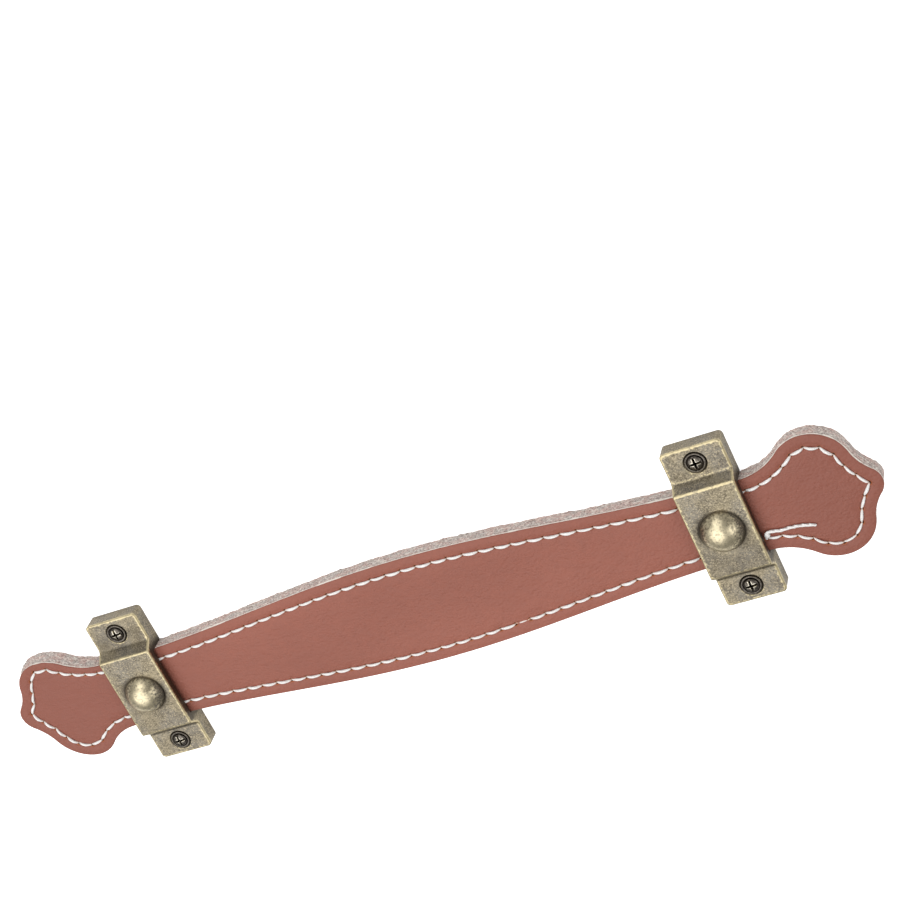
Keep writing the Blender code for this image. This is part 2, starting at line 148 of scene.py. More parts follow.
def attribute(tree, name):
    """The mesh's own mask of that name, a number at each vertex."""
    return put(tree, "Attribute", output="Fac", attribute_name=name)


def new_look(name, **constants):
    """A material with these constants on its Principled shader, its tree and that shader."""
    look = bpy.data.materials.new(name)
    look.use_nodes = True
    shader = look.node_tree.nodes["Principled BSDF"]
    for socket, value in constants.items():
        shader.inputs[socket.replace("_", " ")].default_value = value
    return look, look.node_tree, shader


def feed(tree, shader, **sources):
    for socket, source in sources.items():
        tree.links.new(source, shader.inputs[socket.replace("_", " ")])


# %% [markdown]
# Three effects turn up in more than one finish, so each is a node group with named sockets.
# `patches` gives soft or hard-edged spots of any size, for stains, specks and fibres. `pebbles`
# gives the height of a fine closed grain, for the strap's coating and for cast metal. `rubbed`
# breaks up a mask of worn edges and painted glints, so that the bright metal comes through
# unevenly.

# %% Shared effects
def new_group(name, inputs, outputs):
    """A node group with float or vector inputs, given as name: default, and float outputs."""
    group = bpy.data.node_groups.new(name, "ShaderNodeTree")
    for label, default in inputs.items():
        kind = "NodeSocketVector" if isinstance(default, tuple) else "NodeSocketFloat"
        socket = group.interface.new_socket(label, in_out="INPUT", socket_type=kind)
        socket.default_value = default
    for label in outputs:
        group.interface.new_socket(label, in_out="OUTPUT", socket_type="NodeSocketFloat")
    entry = group.nodes.new("NodeGroupInput").outputs
    leave = group.nodes.new("NodeGroupOutput").inputs
    return group, entry, leave


def object_place(tree, stretch):
    """Object coordinates multiplied by a stretch, in cycles a metre along each axis."""
    place = put(tree, "TexCoord", output="Object")
    return put(tree, "VectorMath", {0: place, 1: stretch}, operation="MULTIPLY")


def make_patches():
    group, entry, leave = new_group(
        "patches",
        {"Stretch": (100.0, 100.0, 100.0), "Low": 0.4, "High": 0.6, "Detail": 3.0},
        ["Mask"],
    )
    place = object_place(group, entry["Stretch"])
    cloud = put(group, "TexNoise", {"Vector": place, "Scale": 1.0, "Detail": entry["Detail"]})
    mask = ramp(group, cloud, entry["Low"], entry["High"], interpolation_type="SMOOTHSTEP")
    group.links.new(mask, leave["Mask"])
    return group


def make_pebbles():
    group, entry, leave = new_group(
        "pebbles", {"Stretch": (1500.0, 1500.0, 1500.0), "Softness": 0.5}, ["Height"]
    )
    place = object_place(group, entry["Stretch"])
    cells = put(
        group, "TexVoronoi", {"Vector": place, "Scale": 1.0, "Smoothness": entry["Softness"]},
        feature="SMOOTH_F1",
    )
    cloud = put(group, "TexNoise", {"Vector": place, "Scale": 0.35, "Detail": 3.0})
    height = math_node(group, "SUBTRACT", cloud, scaled(group, cells, 0.6))
    group.links.new(height, leave["Height"])
    return group


def make_rubbed(patches):
    group, entry, leave = new_group("rubbed", {"Wear": 0.0, "Grain": 900.0, "Reach": 0.6}, ["Mask"])
    stretch = put(group, "CombineXYZ", {0: entry["Grain"], 1: entry["Grain"], 2: entry["Grain"]})
    spots = use(group, patches, Stretch=stretch, Low=0.3, High=0.7)
    edge = math_node(group, "ADD", entry["Wear"], scaled(group, spots, entry["Reach"]))
    mask = ramp(group, edge, 0.55, 1.15, interpolation_type="SMOOTHSTEP")
    group.links.new(mask, leave["Mask"])
    return group


def use(tree, group, **inputs):
    """Places a group in a tree with its own values and returns its first output."""
    node = tree.nodes.new("ShaderNodeGroup")
    node.node_tree = group
    fill_inputs(tree, node, inputs)
    return node.outputs[0]


PATCHES = make_patches()
PEBBLES = make_pebbles()
RUBBED_AND_GLINTING = make_rubbed(PATCHES)
print("shared effects:", PATCHES.name, PEBBLES.name, RUBBED_AND_GLINTING.name)

# %% [markdown]
# The strap's coating is a smooth brown leathercloth. Three things keep it from looking like flat
# paint: slow drifts of tone, a grain so fine that only its shine shows, and the needle holes along
# the seam, each with an orange ring and painted shade in its middle. Both heads get a little painted
# shade as well. Its cut edge shows the layers below the colour: a cream backing and then fibre.
# Here and there the colour has come away and the cream shows as a longer fleck. The mesh carries
# two masks for this, so the layers follow the edge however the strap bends.

# %% Finish: brown leathercloth
COAT_LIGHT = (0.368, 0.126, 0.086)
COAT_DARK = (0.306, 0.102, 0.069)
# Painted shade on the two heads.
COAT_SHADED_AT_HEADS = (0.285, 0.096, 0.066)
COAT_EDGE = (0.120, 0.036, 0.024)
BACKING_CREAM = (0.88, 0.82, 0.74)
FIBRE_GREY = (0.54, 0.475, 0.44)
FIBRE_PINK = (0.61, 0.445, 0.40)
FIBRE_DARK = (0.19, 0.12, 0.105)
# Painted shade in the middle of each needle hole.
HOLE_SHADE_BROWN = (0.080, 0.021, 0.010)
HOLE_RIM = (0.48, 0.145, 0.045)
HEAD_SHADE_BEGINS_AND_ENDS = (50 * MM, 105 * MM)
ORANGE_RING_SPAN = (0.06, 0.30)
HOLE_SHADE_SPAN = (0.27, 0.48)
EDGE_DARKENS = (0.26, 0.34)
COAT_ENDS = (0.38, 0.42)
BACKING_ENDS = (0.64, 0.72)
COAT_LIFTS = (0.26, 0.32)
COAT_RELIEF = 0.22 * MM


def fibre_colour(tree):
    """Pressed fibre: grey and pink streaks along the strap, dark specks and white flecks."""
    streaks = use(tree, PATCHES, Stretch=(380.0, 380.0, 900.0), Low=0.40, High=0.60)
    specks = use(tree, PATCHES, Stretch=(2300.0, 2300.0, 3000.0), Low=0.50, High=0.60, Detail=2.0)
    flecks = use(tree, PATCHES, Stretch=(1500.0, 1500.0, 3400.0), Low=0.52, High=0.60, Detail=2.0)
    colour = blend_colours(tree, streaks, FIBRE_GREY, FIBRE_PINK)
    colour = blend_colours(tree, scaled(tree, specks, 0.6), colour, FIBRE_DARK)
    return blend_colours(tree, scaled(tree, flecks, 0.7), colour, BACKING_CREAM)


def make_leathercloth():
    look, tree, shader = new_look("brown_leathercloth", Specular_IOR_Level=0.32, Sheen_Weight=0.05)
    drift = use(tree, PATCHES, Stretch=(22.0, 30.0, 30.0), Low=0.3, High=0.7)
    mottle = use(tree, PATCHES, Stretch=(420.0, 420.0, 420.0), Low=0.25, High=0.75)
    tone = math_node(tree, "ADD", scaled(tree, mottle, 0.35), scaled(tree, drift, 0.65))
    coat = blend_colours(tree, tone, COAT_DARK, COAT_LIGHT)
    # Painted shade: both heads are a little darker than the middle of the strap.
    along = put(tree, "SeparateXYZ", {0: put(tree, "TexCoord", output="Object")})
    heads_in_shade = ramp(tree, math_node(tree, "ABSOLUTE", along), *HEAD_SHADE_BEGINS_AND_ENDS)
    coat = blend_colours(tree, scaled(tree, heads_in_shade, 0.75), coat, COAT_SHADED_AT_HEADS)
    # Each needle hole gets an orange ring, and painted shade in its middle where the hole is dark
    # inside.
    hole = attribute(tree, "needle_hole")
    orange_ring = ramp(tree, hole, *ORANGE_RING_SPAN)
    shade_in_hole = ramp(tree, hole, *HOLE_SHADE_SPAN)
    coat = blend_colours(tree, scaled(tree, orange_ring, 0.85), coat, HOLE_RIM)
    coat = blend_colours(tree, shade_in_hole, coat, HOLE_SHADE_BROWN)

    ragged = use(tree, PATCHES, Stretch=(500.0, 700.0, 900.0), Low=0.3, High=0.7)
    depth = math_node(tree, "ADD", attribute(tree, "cut_depth"), scaled(tree, ragged, 0.10))
    near_cut = ramp(tree, depth, *EDGE_DARKENS)
    below_coat = ramp(tree, depth, *COAT_ENDS)
    below_backing = ramp(tree, depth, *BACKING_ENDS)
    colour = blend_colours(tree, scaled(tree, near_cut, 0.55), coat, COAT_EDGE)
    colour = blend_colours(tree, below_coat, colour, BACKING_CREAM)
    colour = blend_colours(tree, below_backing, colour, fibre_colour(tree))
    bare = use(tree, PATCHES, Stretch=(130.0, 130.0, 60.0), Low=0.53, High=0.57, Detail=1.0)
    lifted = ramp(tree, depth, *COAT_LIFTS)
    colour = blend_colours(tree, scaled(tree, bare, lifted), colour, BACKING_CREAM)

    grain = use(tree, PEBBLES, Stretch=(1300.0, 1700.0, 1500.0), Softness=0.6)
    normal = put(tree, "Bump", {"Strength": 0.9, "Distance": COAT_RELIEF, "Height": grain})
    shine = put(tree, "MapRange", {"Value": mottle, "To Min": 0.42, "To Max": 0.52})
    rough = put(tree, "Mix", {0: below_coat, 2: shine, 3: 0.95}, data_type="FLOAT")
    feed(tree, shader, Base_Color=colour, Roughness=rough, Normal=normal)
    return look


LEATHERCLOTH = make_leathercloth()
print("finish:", LEATHERCLOTH.name)

# %% [markdown]
# Below the coat lies the strap's body of pressed fibre. Where it is cut it looks like felt: grey
# and pink fibres run along the strap, with dark specks and white flecks between them, and light
# sinks into it. A high roughness and a coarse bump do that, and loose fibres are added later as
# real geometry.

# %% Finish: pressed fibre
def make_fibre():
    look, tree, shader = new_look(
        "pressed_fibre", Roughness=0.95, Specular_IOR_Level=0.15, Sheen_Weight=0.15
    )
    felt = use(tree, PEBBLES, Stretch=(700.0, 1300.0, 2200.0), Softness=0.3)
    normal = put(tree, "Bump", {"Strength": 0.6, "Distance": 0.3 * MM, "Height": felt})
    feed(tree, shader, Base_Color=fibre_colour(tree), Normal=normal)
    return look


FIBRE = make_fibre()
print("finish:", FIBRE.name)

# %% [markdown]
# The sewing thread is white, thick and matt. Its plies are modelled, so the material only needs a
# faint unevenness and painted shade where the thread dips below the skin into the needle holes,
# which the mesh marks.

# %% Finish: white thread
THREAD_WHITE = (0.98, 0.97, 0.95)
# Faint unevenness, and painted shade where the thread dips into the needle holes.
THREAD_UNEVEN_AND_SHADED = (0.52, 0.27, 0.16)


def make_thread():
    look, tree, shader = new_look(
        "white_thread", Roughness=0.8, Specular_IOR_Level=0.25, Sheen_Weight=0.3
    )
    fluff = use(tree, PATCHES, Stretch=(1500.0, 1500.0, 1500.0), Low=0.35, High=0.75)
    # A faint random unevenness, and painted shade where the thread dips into the holes.
    dip_shade = math_node(tree, "MAXIMUM", scaled(tree, fluff, 0.06), attribute(tree, "dip_shade"))
    hairs = use(tree, PEBBLES, Stretch=(5200.0, 5200.0, 5200.0), Softness=0.2)
    normal = put(tree, "Bump", {"Strength": 0.25, "Distance": 0.06 * MM, "Height": hairs})
    colour = blend_colours(tree, dip_shade, THREAD_WHITE, THREAD_UNEVEN_AND_SHADED)
    feed(tree, shader, Base_Color=colour, Normal=normal)
    return look


THREAD = make_thread()
print("finish:", THREAD.name)

# %% [markdown]
# Antique brass is bright metal that was darkened in a bath and then rubbed. The flats keep a grey
# brown patina full of fine brassy specks, the edges and the dome are rubbed back to brass, and
# the corners keep the darkest film. Each mesh carries masks for worn edges with painted highlights,
# for hollows with painted shade, and for polish. The same graph with other colours makes the
# screws, which were darkened more; their bright marks are painted glints.

# %% Finish: antique brass and dark bronze
def make_aged_metal(name, patina, warm, film_and_shade, speck, edge, bright, specks, wear_and_glint_strength, roughness):
    """A patinated metal: flats in two tones, darkest film and painted shade, fine specks, rubbed
    edges with painted highlights, and polish.
    """
    look, tree, shader = new_look(name, Metallic=1.0)
    clouds = use(tree, PATCHES, Stretch=(260.0, 260.0, 260.0), Low=0.35, High=0.65)
    fine = use(tree, PATCHES, Stretch=(3000.0, 3000.0, 3000.0), Low=0.5, High=0.62, Detail=2.0)
    dark = use(tree, PATCHES, Stretch=(2300.0, 2300.0, 2300.0), Low=0.5, High=0.66, Detail=3.0)
    tones = use(tree, PATCHES, Stretch=(140.0, 140.0, 140.0), Low=0.38, High=0.62)
    colour = blend_colours(tree, tones, patina, warm)
    colour = blend_colours(tree, scaled(tree, clouds, 0.35), colour, film_and_shade)
    colour = blend_colours(tree, scaled(tree, fine, specks), colour, speck)
    colour = blend_colours(tree, scaled(tree, dark, 0.45), colour, film_and_shade)
    # Real film in hollows, plus painted shade: the bridge's sides, the upper foot near the step, the
    # dome's flanks and the screws' recesses.
    colour = blend_colours(tree, attribute(tree, "film_and_shade_mask"), colour, film_and_shade)

    # Worn edges, with painted highlights on the step line and the holes' lower rims, and painted
    # glints on the screws.
    wear_and_glints = scaled(tree, attribute(tree, "wear_and_glints"), wear_and_glint_strength)
    worn_and_glinting = use(tree, RUBBED_AND_GLINTING, Wear=wear_and_glints, Grain=1300.0, Reach=0.6)
    polish = scaled(tree, attribute(tree, "polish"), 0.8)
    polished = use(tree, RUBBED_AND_GLINTING, Wear=polish, Grain=1700.0, Reach=0.5)
    colour = blend_colours(tree, worn_and_glinting, colour, edge)
    colour = blend_colours(tree, polished, colour, bright)
    rubbed = math_node(tree, "MAXIMUM", worn_and_glinting, polished)

    pits = use(tree, PEBBLES, Stretch=(1400.0, 1400.0, 1400.0), Softness=0.4)
    normal = put(tree, "Bump", {"Strength": 0.3, "Distance": 0.1 * MM, "Height": pits})
    shine = scaled(tree, rubbed, 0.12)
    dull = scaled(tree, dark, 0.1)
    rough = math_node(tree, "ADD", math_node(tree, "SUBTRACT", dull, shine), roughness)
    feed(tree, shader, Base_Color=colour, Roughness=rough, Normal=normal)
    return look


ANTIQUE_BRASS = make_aged_metal(
    "antique_brass", patina=(0.286, 0.258, 0.208), warm=(0.316, 0.270, 0.184),
    film_and_shade=(0.085, 0.072, 0.056), speck=(0.47, 0.40, 0.28), edge=(0.60, 0.51, 0.31),
    bright=(0.71, 0.62, 0.42), specks=0.85, wear_and_glint_strength=0.85, roughness=0.46,
)
# The screws' edge colour paints glints on the recess's corners.
DARK_BRONZE = make_aged_metal(
    "dark_bronze", patina=(0.175, 0.155, 0.135), warm=(0.155, 0.135, 0.105),
    film_and_shade=(0.018, 0.014, 0.011), speck=(0.26, 0.23, 0.19), edge=(0.66, 0.61, 0.50),
    bright=(0.66, 0.61, 0.50), specks=0.4, wear_and_glint_strength=1.0, roughness=0.34,
)
print("finishes:", ANTIQUE_BRASS.name, DARK_BRONZE.name)

# %% [markdown]
# New pieces are built in bmesh, Blender's mesh editor for scripts. One function closes each of
# them the same way: it writes the mesh, keeps only real corners crisp, gives the finish, ties the
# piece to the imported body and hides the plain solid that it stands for.

# %% Helpers for pieces
CRISP_ANGLE = math.radians(38)


def mesh_of(bm, name):
    """Writes a bmesh out as a mesh and frees it."""
    mesh = bpy.data.meshes.new(name)
    bm.to_mesh(mesh)
    bm.free()
    return mesh


def finish_piece(bm, name, look, slot, *stands_for):
    """Writes a bmesh as a finished piece of the part."""
    mesh = mesh_of(bm, name)
    mesh.shade_smooth()
    mesh.set_sharp_from_angle(angle=CRISP_ANGLE)
    mesh.materials.append(look)
    piece = put_in_scene(name, mesh)
    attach(piece, "root")
    if stands_for:
        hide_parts(*stands_for)
    print(f"{name}: {len(mesh.vertices)} vertices, {len(mesh.polygons)} faces")


def face_outwards(bm):
    bmesh.ops.recalc_face_normals(bm, faces=bm.faces)
    if bm.calc_volume(signed=True) < 0:
        bmesh.ops.reverse_faces(bm, faces=bm.faces)


def held(value):
    """The value, held between 0 and 1."""
    return min(1.0, max(0.0, value))


def gauss(distance, reach):
    """1 at no distance, falling softly to a third at the reach and to nothing past it."""
    return math.exp(-((distance / reach) ** 2))


def extrude(bm, face, push):
    """Extrudes one face by a vector and returns the face at its far end."""
    grown = bmesh.ops.extrude_face_region(bm, geom=[face])["geom"]
    moved = [item for item in grown if isinstance(item, bmesh.types.BMVert)]
    bmesh.ops.translate(bm, verts=moved, vec=push)
    if any(len(edge.link_faces) > 2 for edge in face.edges):
        bmesh.ops.delete(bm, geom=[face], context="FACES_ONLY")
    return next(item for item in grown if isinstance(item, bmesh.types.BMFace))


# %% [markdown]
# The strap's outline is drawn once and used by everything on it. From the middle out it swells,
# runs through a bracket as a straight neck, flares into a head, rounds the shoulder, curves in
# along the flank and ends in a small round nose. The curves are a raised cosine and four arcs
# that touch each other, so only their radii are given. The left head was cut slightly askew. Each
# point also keeps the direction that points out of the strap, which later pushes fibres out and
# draws the seam inside the edge.

# %% The strap's outline
skin_low, skin_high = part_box("strap_face")
core_low, core_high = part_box("strap_core")
right_low, right_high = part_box("right_bracket")
BRACKET_X = (right_low.x + right_high.x) / 2
BRACKET_HALF_WIDTH = (right_high.x - right_low.x) / 2
SKIN_TOP = skin_high.z
SKIN_BASE = skin_low.z
CORE_TOP = core_high.z
CORE_BASE = core_low.z

STRAP_SHIFT = -0.56 * MM
MIDDLE_HALF_WIDTH = 15.1 * MM
NECK_HALF_WIDTH = 10.0 * MM
SWELL_HALF = BRACKET_X + 6.0 * MM
LEFT_HEAD = {"neck_length": 3.27 * MM, "half_width": 15.57 * MM}
RIGHT_HEAD = {"neck_length": 2.19 * MM, "half_width": 16.5 * MM}
SHOULDER_SETBACK = 14.25 * MM
SHOULDER_RADIUS = 9.65 * MM
FLARE_RADIUS = 15.2 * MM
FLANK_RADIUS = 12.55 * MM
NOSE_RADIUS = 4.5 * MM
LEFT_HEAD_LEAN = 0.075
LEFT_TIP_LEAN = 0.05
LEFT_LEAN_START = 11 * MM
LEFT_LEAN_RUN = 12 * MM
LEFT_TIP_START = 25 * MM
NECK_STEPS = 6
EDGE_SPACING = 0.3 * MM


def arc(centre, radius, start, end):
    """Points along an arc, without its first one."""
    steps = max(3, round(abs(end - start) * radius / EDGE_SPACING))
    found = []
    for step in range(1, steps + 1):
        angle = start + (end - start) * step / steps
        found.append(centre + Vector((math.cos(angle), math.sin(angle))) * radius)
    return found


def bearing(a, b):
    return math.atan2(b.y - a.y, b.x - a.x)


def outer_crossing(a, radius_a, b, radius_b):
    """Where two circles cross, at the crossing further from the strap's middle."""
    between = b - a
    span = between.length
    along = (radius_a**2 - radius_b**2 + span**2) / (2 * span)
    across = Vector((-between.y, between.x)) / span * math.sqrt(radius_a**2 - along**2)
    foot = a + between / span * along
    return max(foot + across, foot - across, key=lambda place: place.x + place.y)


def quarter_edge(neck_length, half_width):
    """The upper edge from the strap's middle to one tip."""
    swell = MIDDLE_HALF_WIDTH - NECK_HALF_WIDTH
    steps = round(SWELL_HALF / EDGE_SPACING)
    edge = []
    for step in range(steps):
        rise = swell * math.cos(math.pi / 2 * step / steps) ** 2
        edge.append(Vector((SWELL_HALF * step / steps, NECK_HALF_WIDTH + rise)))
    for step in range(NECK_STEPS):
        edge.append(Vector((SWELL_HALF + neck_length * step / NECK_STEPS, NECK_HALF_WIDTH)))

    flare = Vector((SWELL_HALF + neck_length, NECK_HALF_WIDTH + FLARE_RADIUS))
    drop = flare.y - (half_width - SHOULDER_RADIUS)
    run = math.sqrt((FLARE_RADIUS + SHOULDER_RADIUS) ** 2 - drop**2)
    shoulder = flare + Vector((run, -drop))
    nose = Vector((shoulder.x + SHOULDER_SETBACK - NOSE_RADIUS, 0.0))
    flank = outer_crossing(
        shoulder, SHOULDER_RADIUS + FLANK_RADIUS, nose, NOSE_RADIUS + FLANK_RADIUS
    )
    edge.append(Vector((flare.x, NECK_HALF_WIDTH)))
    edge += arc(flare, FLARE_RADIUS, -math.pi / 2, bearing(flare, shoulder))
    edge += arc(shoulder, SHOULDER_RADIUS, bearing(shoulder, flare), bearing(shoulder, flank))
    edge += arc(
        flank, FLANK_RADIUS, bearing(flank, shoulder) % (2 * math.pi),
        bearing(flank, nose) % (2 * math.pi),
    )
    return edge + arc(nose, NOSE_RADIUS, bearing(nose, flank), 0.0)


def turned(points, sign_x, sign_y):
    """A quarter of the edge, mirrored into its own quarter of the strap."""
    return [Vector((p.x * sign_x + STRAP_SHIFT, p.y * sign_y)) for p in points]


def askew(place):
    """The left head as it was cut by hand, leaning a little to one side."""
    share = held((-BRACKET_X - LEFT_LEAN_START - place.x) / LEFT_LEAN_RUN)
    share = share * share * (3 - 2 * share)
    tip = max(0.0, -BRACKET_X - LEFT_TIP_START - place.x)
    return place + Vector((-LEFT_HEAD_LEAN * place.y * share, LEFT_TIP_LEAN * tip))


right_quarter = quarter_edge(**RIGHT_HEAD)
left_quarter = quarter_edge(**LEFT_HEAD)
edge_points = turned(right_quarter, 1, -1) + turned(right_quarter, 1, 1)[-2::-1]
edge_points += turned(left_quarter, -1, 1)[1:] + turned(left_quarter, -1, -1)[-2:0:-1]
edge_points = [askew(place) for place in edge_points]
befores = edge_points[-1:] + edge_points[:-1]
afters = edge_points[1:] + edge_points[:1]
STRAP_EDGE = []
for before, place, after in zip(befores, edge_points, afters):
    along = (after - before).normalized()
    STRAP_EDGE.append((place, Vector((along.y, -along.x))))
print("outline:", len(STRAP_EDGE), "points, from", round(min(p.x for p, _ in STRAP_EDGE), 4),
      "to", round(max(p.x for p, _ in STRAP_EDGE), 4))

# %% [markdown]
# The seam runs 3.3 mm inside the edge. On the left head, where the strap was fed in askew, it
# strays out along the upper side and turns a little early at the tip. A sewing machine feeds the
# strap by the same step each time, and whoever sews turns the strap with the needle down, so there
# is a hole right at each tip. The seam is therefore walked in runs of equal steps from stop to
# stop, and the stops are the two tips and the places where it leaves a bracket. This comes before
# the skin, because the skin is dented where the thread pulls it down.

# %% The seam and its needle holes
SEAM_INSET = 3.3 * MM
STITCH_PITCH = 4.2 * MM
HEAD_PITCH = 3.8 * MM
FIRST_HOLE_X = BRACKET_X + BRACKET_HALF_WIDTH + 0.4 * MM

LEFT_HEAD_NEARER = 1.15 * MM
NEARER_RUN = 7 * MM
UPWARD_FROM = 0.7
UPWARD_RUN = 0.25
LEFT_TIP_DEEPER = 0.35 * MM
TIP_REACH = 3.6 * MM
LEFT_TIP = min((place for place, _ in STRAP_EDGE), key=lambda place: place.x)


def seam_inset(place, outward):
    """The seam's depth in from the edge: less on the left head's upper side, more at its tip."""
    along = held((-BRACKET_X - place.x) / NEARER_RUN)
    up = held((outward.y - UPWARD_FROM) / UPWARD_RUN)
    at_tip = gauss((place - LEFT_TIP).length, TIP_REACH)
    return SEAM_INSET - LEFT_HEAD_NEARER * along * up + LEFT_TIP_DEEPER * at_tip


seam = [p - n * seam_inset(p, n) for p, n in STRAP_EDGE]
seam.append(seam[0])
marks = [0.0]
for a, b in zip(seam, seam[1:]):
    marks.append(marks[-1] + (b - a).length)
SEAM_LENGTH = marks[-1]


def seam_at(distance):
    """The point that far along the seam, which starts at the middle of the lower side."""
    distance %= SEAM_LENGTH
    low, high = 0, len(marks) - 1
    while high - low > 1:
        middle = (low + high) // 2
        low, high = (middle, high) if marks[middle] <= distance else (low, middle)
    share = (distance - marks[low]) / (marks[high] - marks[low])
    return seam[low].lerp(seam[high], share)


def seam_distance(x, side):
    """How far along the seam its lower (-1) or upper (1) side comes to this x."""
    for index, (a, b) in enumerate(zip(seam, seam[1:])):
        if a.y * side > 0 and min(a.x, b.x) <= x <= max(a.x, b.x):
            return marks[index] + (x - a.x) / (b.x - a.x) * (b - a).length
    raise ValueError("the seam doesn't reach that far")


def seam_tip(side):
    """How far along the seam its outermost point lies on one side."""
    return marks[max(range(len(seam)), key=lambda index: seam[index].x * side)]


def seam_run(start, end, pitch):
    """Needle holes in equal steps from one place of the seam towards another."""
    count = round((end - start) / pitch)
    return [seam_at(start + (end - start) * step / count) for step in range(count)]


STOPS = (
    (seam_distance(FIRST_HOLE_X, -1), HEAD_PITCH),
    (seam_tip(1), HEAD_PITCH),
    (seam_distance(FIRST_HOLE_X, 1), STITCH_PITCH),
    (seam_distance(-FIRST_HOLE_X, 1), HEAD_PITCH),
    (seam_tip(-1), HEAD_PITCH),
    (seam_distance(-FIRST_HOLE_X, -1) % SEAM_LENGTH, STITCH_PITCH),
)
HOLES = []
for (start, pitch), (end, _) in zip(STOPS, STOPS[1:]):
    HOLES += seam_run(start, end, pitch)
HOLES += seam_run(STOPS[-1][0], STOPS[0][0] + SEAM_LENGTH, STOPS[-1][1])


def search_tree(places):
    """A tree that finds the nearest of these flat or solid points."""
    tree = kdtree.KDTree(len(places))
    for index, place in enumerate(places):
        tree.insert((place[0], place[1], place[2] if len(place) > 2 else 0.0), index)
    tree.balance()
    return tree


HOLE_TREE = search_tree(HOLES)
SEAM_TREE = search_tree(seam)
EDGE_TREE = search_tree([p for p, _ in STRAP_EDGE])
print("needle holes:", len(HOLES), "along a seam of", round(SEAM_LENGTH, 4), "m")

# %% [markdown]
# The skin starts as the outline filled with one face. Extruding it up makes the cut wall, and
# insetting it again and again makes rings: the first ones round the edge over, and those round
# the seam lie close together so that they can take the dents. The wide middle is then cut into a
# loose grid. After that every vertex on top is only moved up or down: into a shallow groove
# along the seam, a pit at each needle hole and a faint waviness that breaks up the shine.

# %% The strap's skin
SKIN_ROUND = 0.3 * MM
WALL_SHARES = (0.3, 0.5, 0.64, 0.72, 0.8)
RING_INSETS = (
    0.5, 0.8, 1.2, 1.5, 1.75, 1.9, 2.03, 2.15, 2.27, 2.4, 2.57, 2.75, 2.92, 3.06, 3.18, 3.3, 3.42,
    3.54, 3.68, 3.82,
)
ROUND_STEPS = 5
GRID_X = 1.6 * MM
GRID_Y = 1.5 * MM
MARK_LIMIT = 3.75 * MM
GROOVE_DEPTH = 0.20 * MM
GROOVE_REACH = 1.0 * MM
PIT_DEPTH = 0.65 * MM
PIT_REACH = 0.48 * MM
PUFF_HEIGHT = 0.14 * MM
WAVE_HEIGHT = 0.06 * MM
WAVES_X = 55
WAVES_Y = 90
WAVE_SLICE = 3.1


def ring_steps():
    """The skin's rings after its wall, as (inset, height) pairs."""
    steps = []
    for step in range(1, ROUND_STEPS + 1):
        angle = math.pi / 2 * step / ROUND_STEPS
        inset = SKIN_ROUND * (1 - math.cos(angle))
        steps.append((inset, SKIN_TOP - SKIN_ROUND * (1 - math.sin(angle))))
    return steps + [(inset * MM, SKIN_TOP) for inset in RING_INSETS]


def top_lift(place):
    """How far the finished skin stands above or below its flat top, and how near a hole is."""
    flat = (place.x, place.y, 0.0)
    to_hole = HOLE_TREE.find(flat)[2]
    to_seam = SEAM_TREE.find(flat)[2]
    to_edge = EDGE_TREE.find(flat)[2]
    lift = -GROOVE_DEPTH * gauss(to_seam, GROOVE_REACH) - PIT_DEPTH * gauss(to_hole, PIT_REACH)
    lift += PUFF_HEIGHT * gauss(to_edge - SEAM_INSET / 2, SEAM_INSET / 3)
    lift += WAVE_HEIGHT * noise.noise((place.x * WAVES_X, place.y * WAVES_Y, WAVE_SLICE))
    mark = gauss(to_hole, PIT_REACH) if to_edge < MARK_LIMIT else 0.0
    return lift * min(1.0, to_edge / SKIN_ROUND), mark


def cut_grid(bm, faces, low, high, spacing, axis):
    """Cuts faces by planes at equal steps along one axis."""
    normal = Vector((0, 0, 0))
    normal[axis] = 1.0
    count = int((high - low) / spacing)
    for step in range(1, count + 1):
        plane = normal * (low + (high - low) * step / (count + 1))
        live = [face for face in faces if face.is_valid]
        geom = live + list({edge for face in live for edge in face.edges})
        geom += list({vert for face in live for vert in face.verts})
        made = bmesh.ops.bisect_plane(bm, geom=geom, plane_co=plane, plane_no=normal)["geom"]
        faces = [item for item in made if isinstance(item, bmesh.types.BMFace)]
    return faces


def make_skin():
    bm = bmesh.new()
    depth_mark = bm.verts.layers.float.new("cut_depth")
    hole_mark = bm.verts.layers.float.new("needle_hole")
    rim = [bm.verts.new((p.x, p.y, SKIN_BASE)) for p, _ in STRAP_EDGE]
    face = bm.faces.new(rim)
    height = SKIN_BASE
    wall_top = SKIN_TOP - SKIN_ROUND
    for share in (*WALL_SHARES, 1.0):
        rise = SKIN_BASE + (wall_top - SKIN_BASE) * share - height
        face = extrude(bm, face, (0, 0, rise))
        height += rise
    inset = 0.0
    for next_inset, next_height in ring_steps():
        bmesh.ops.inset_region(bm, faces=[face], thickness=next_inset - inset, use_even_offset=True)
        bmesh.ops.translate(bm, verts=face.verts, vec=(0, 0, next_height - height))
        inset, height = next_inset, next_height
    middle = cut_grid(bm, [face], skin_low.x, skin_high.x, GRID_X, 0)
    cut_grid(bm, middle, skin_low.y, skin_high.y, GRID_Y, 1)
    face_outwards(bm)

    for vert in bm.verts:
        vert[depth_mark] = max(0.0, (SKIN_TOP - vert.co.z) / (SKIN_TOP - SKIN_BASE))
        if vert.co.z > wall_top + SKIN_ROUND / 2:
            lift, hole = top_lift(vert.co)
            vert.co.z += lift
            vert[hole_mark] = hole
            vert[depth_mark] = 0.0
    finish_piece(bm, "leathercloth_skin", LEATHERCLOTH, "leathercloth", "strap_face")


make_skin()

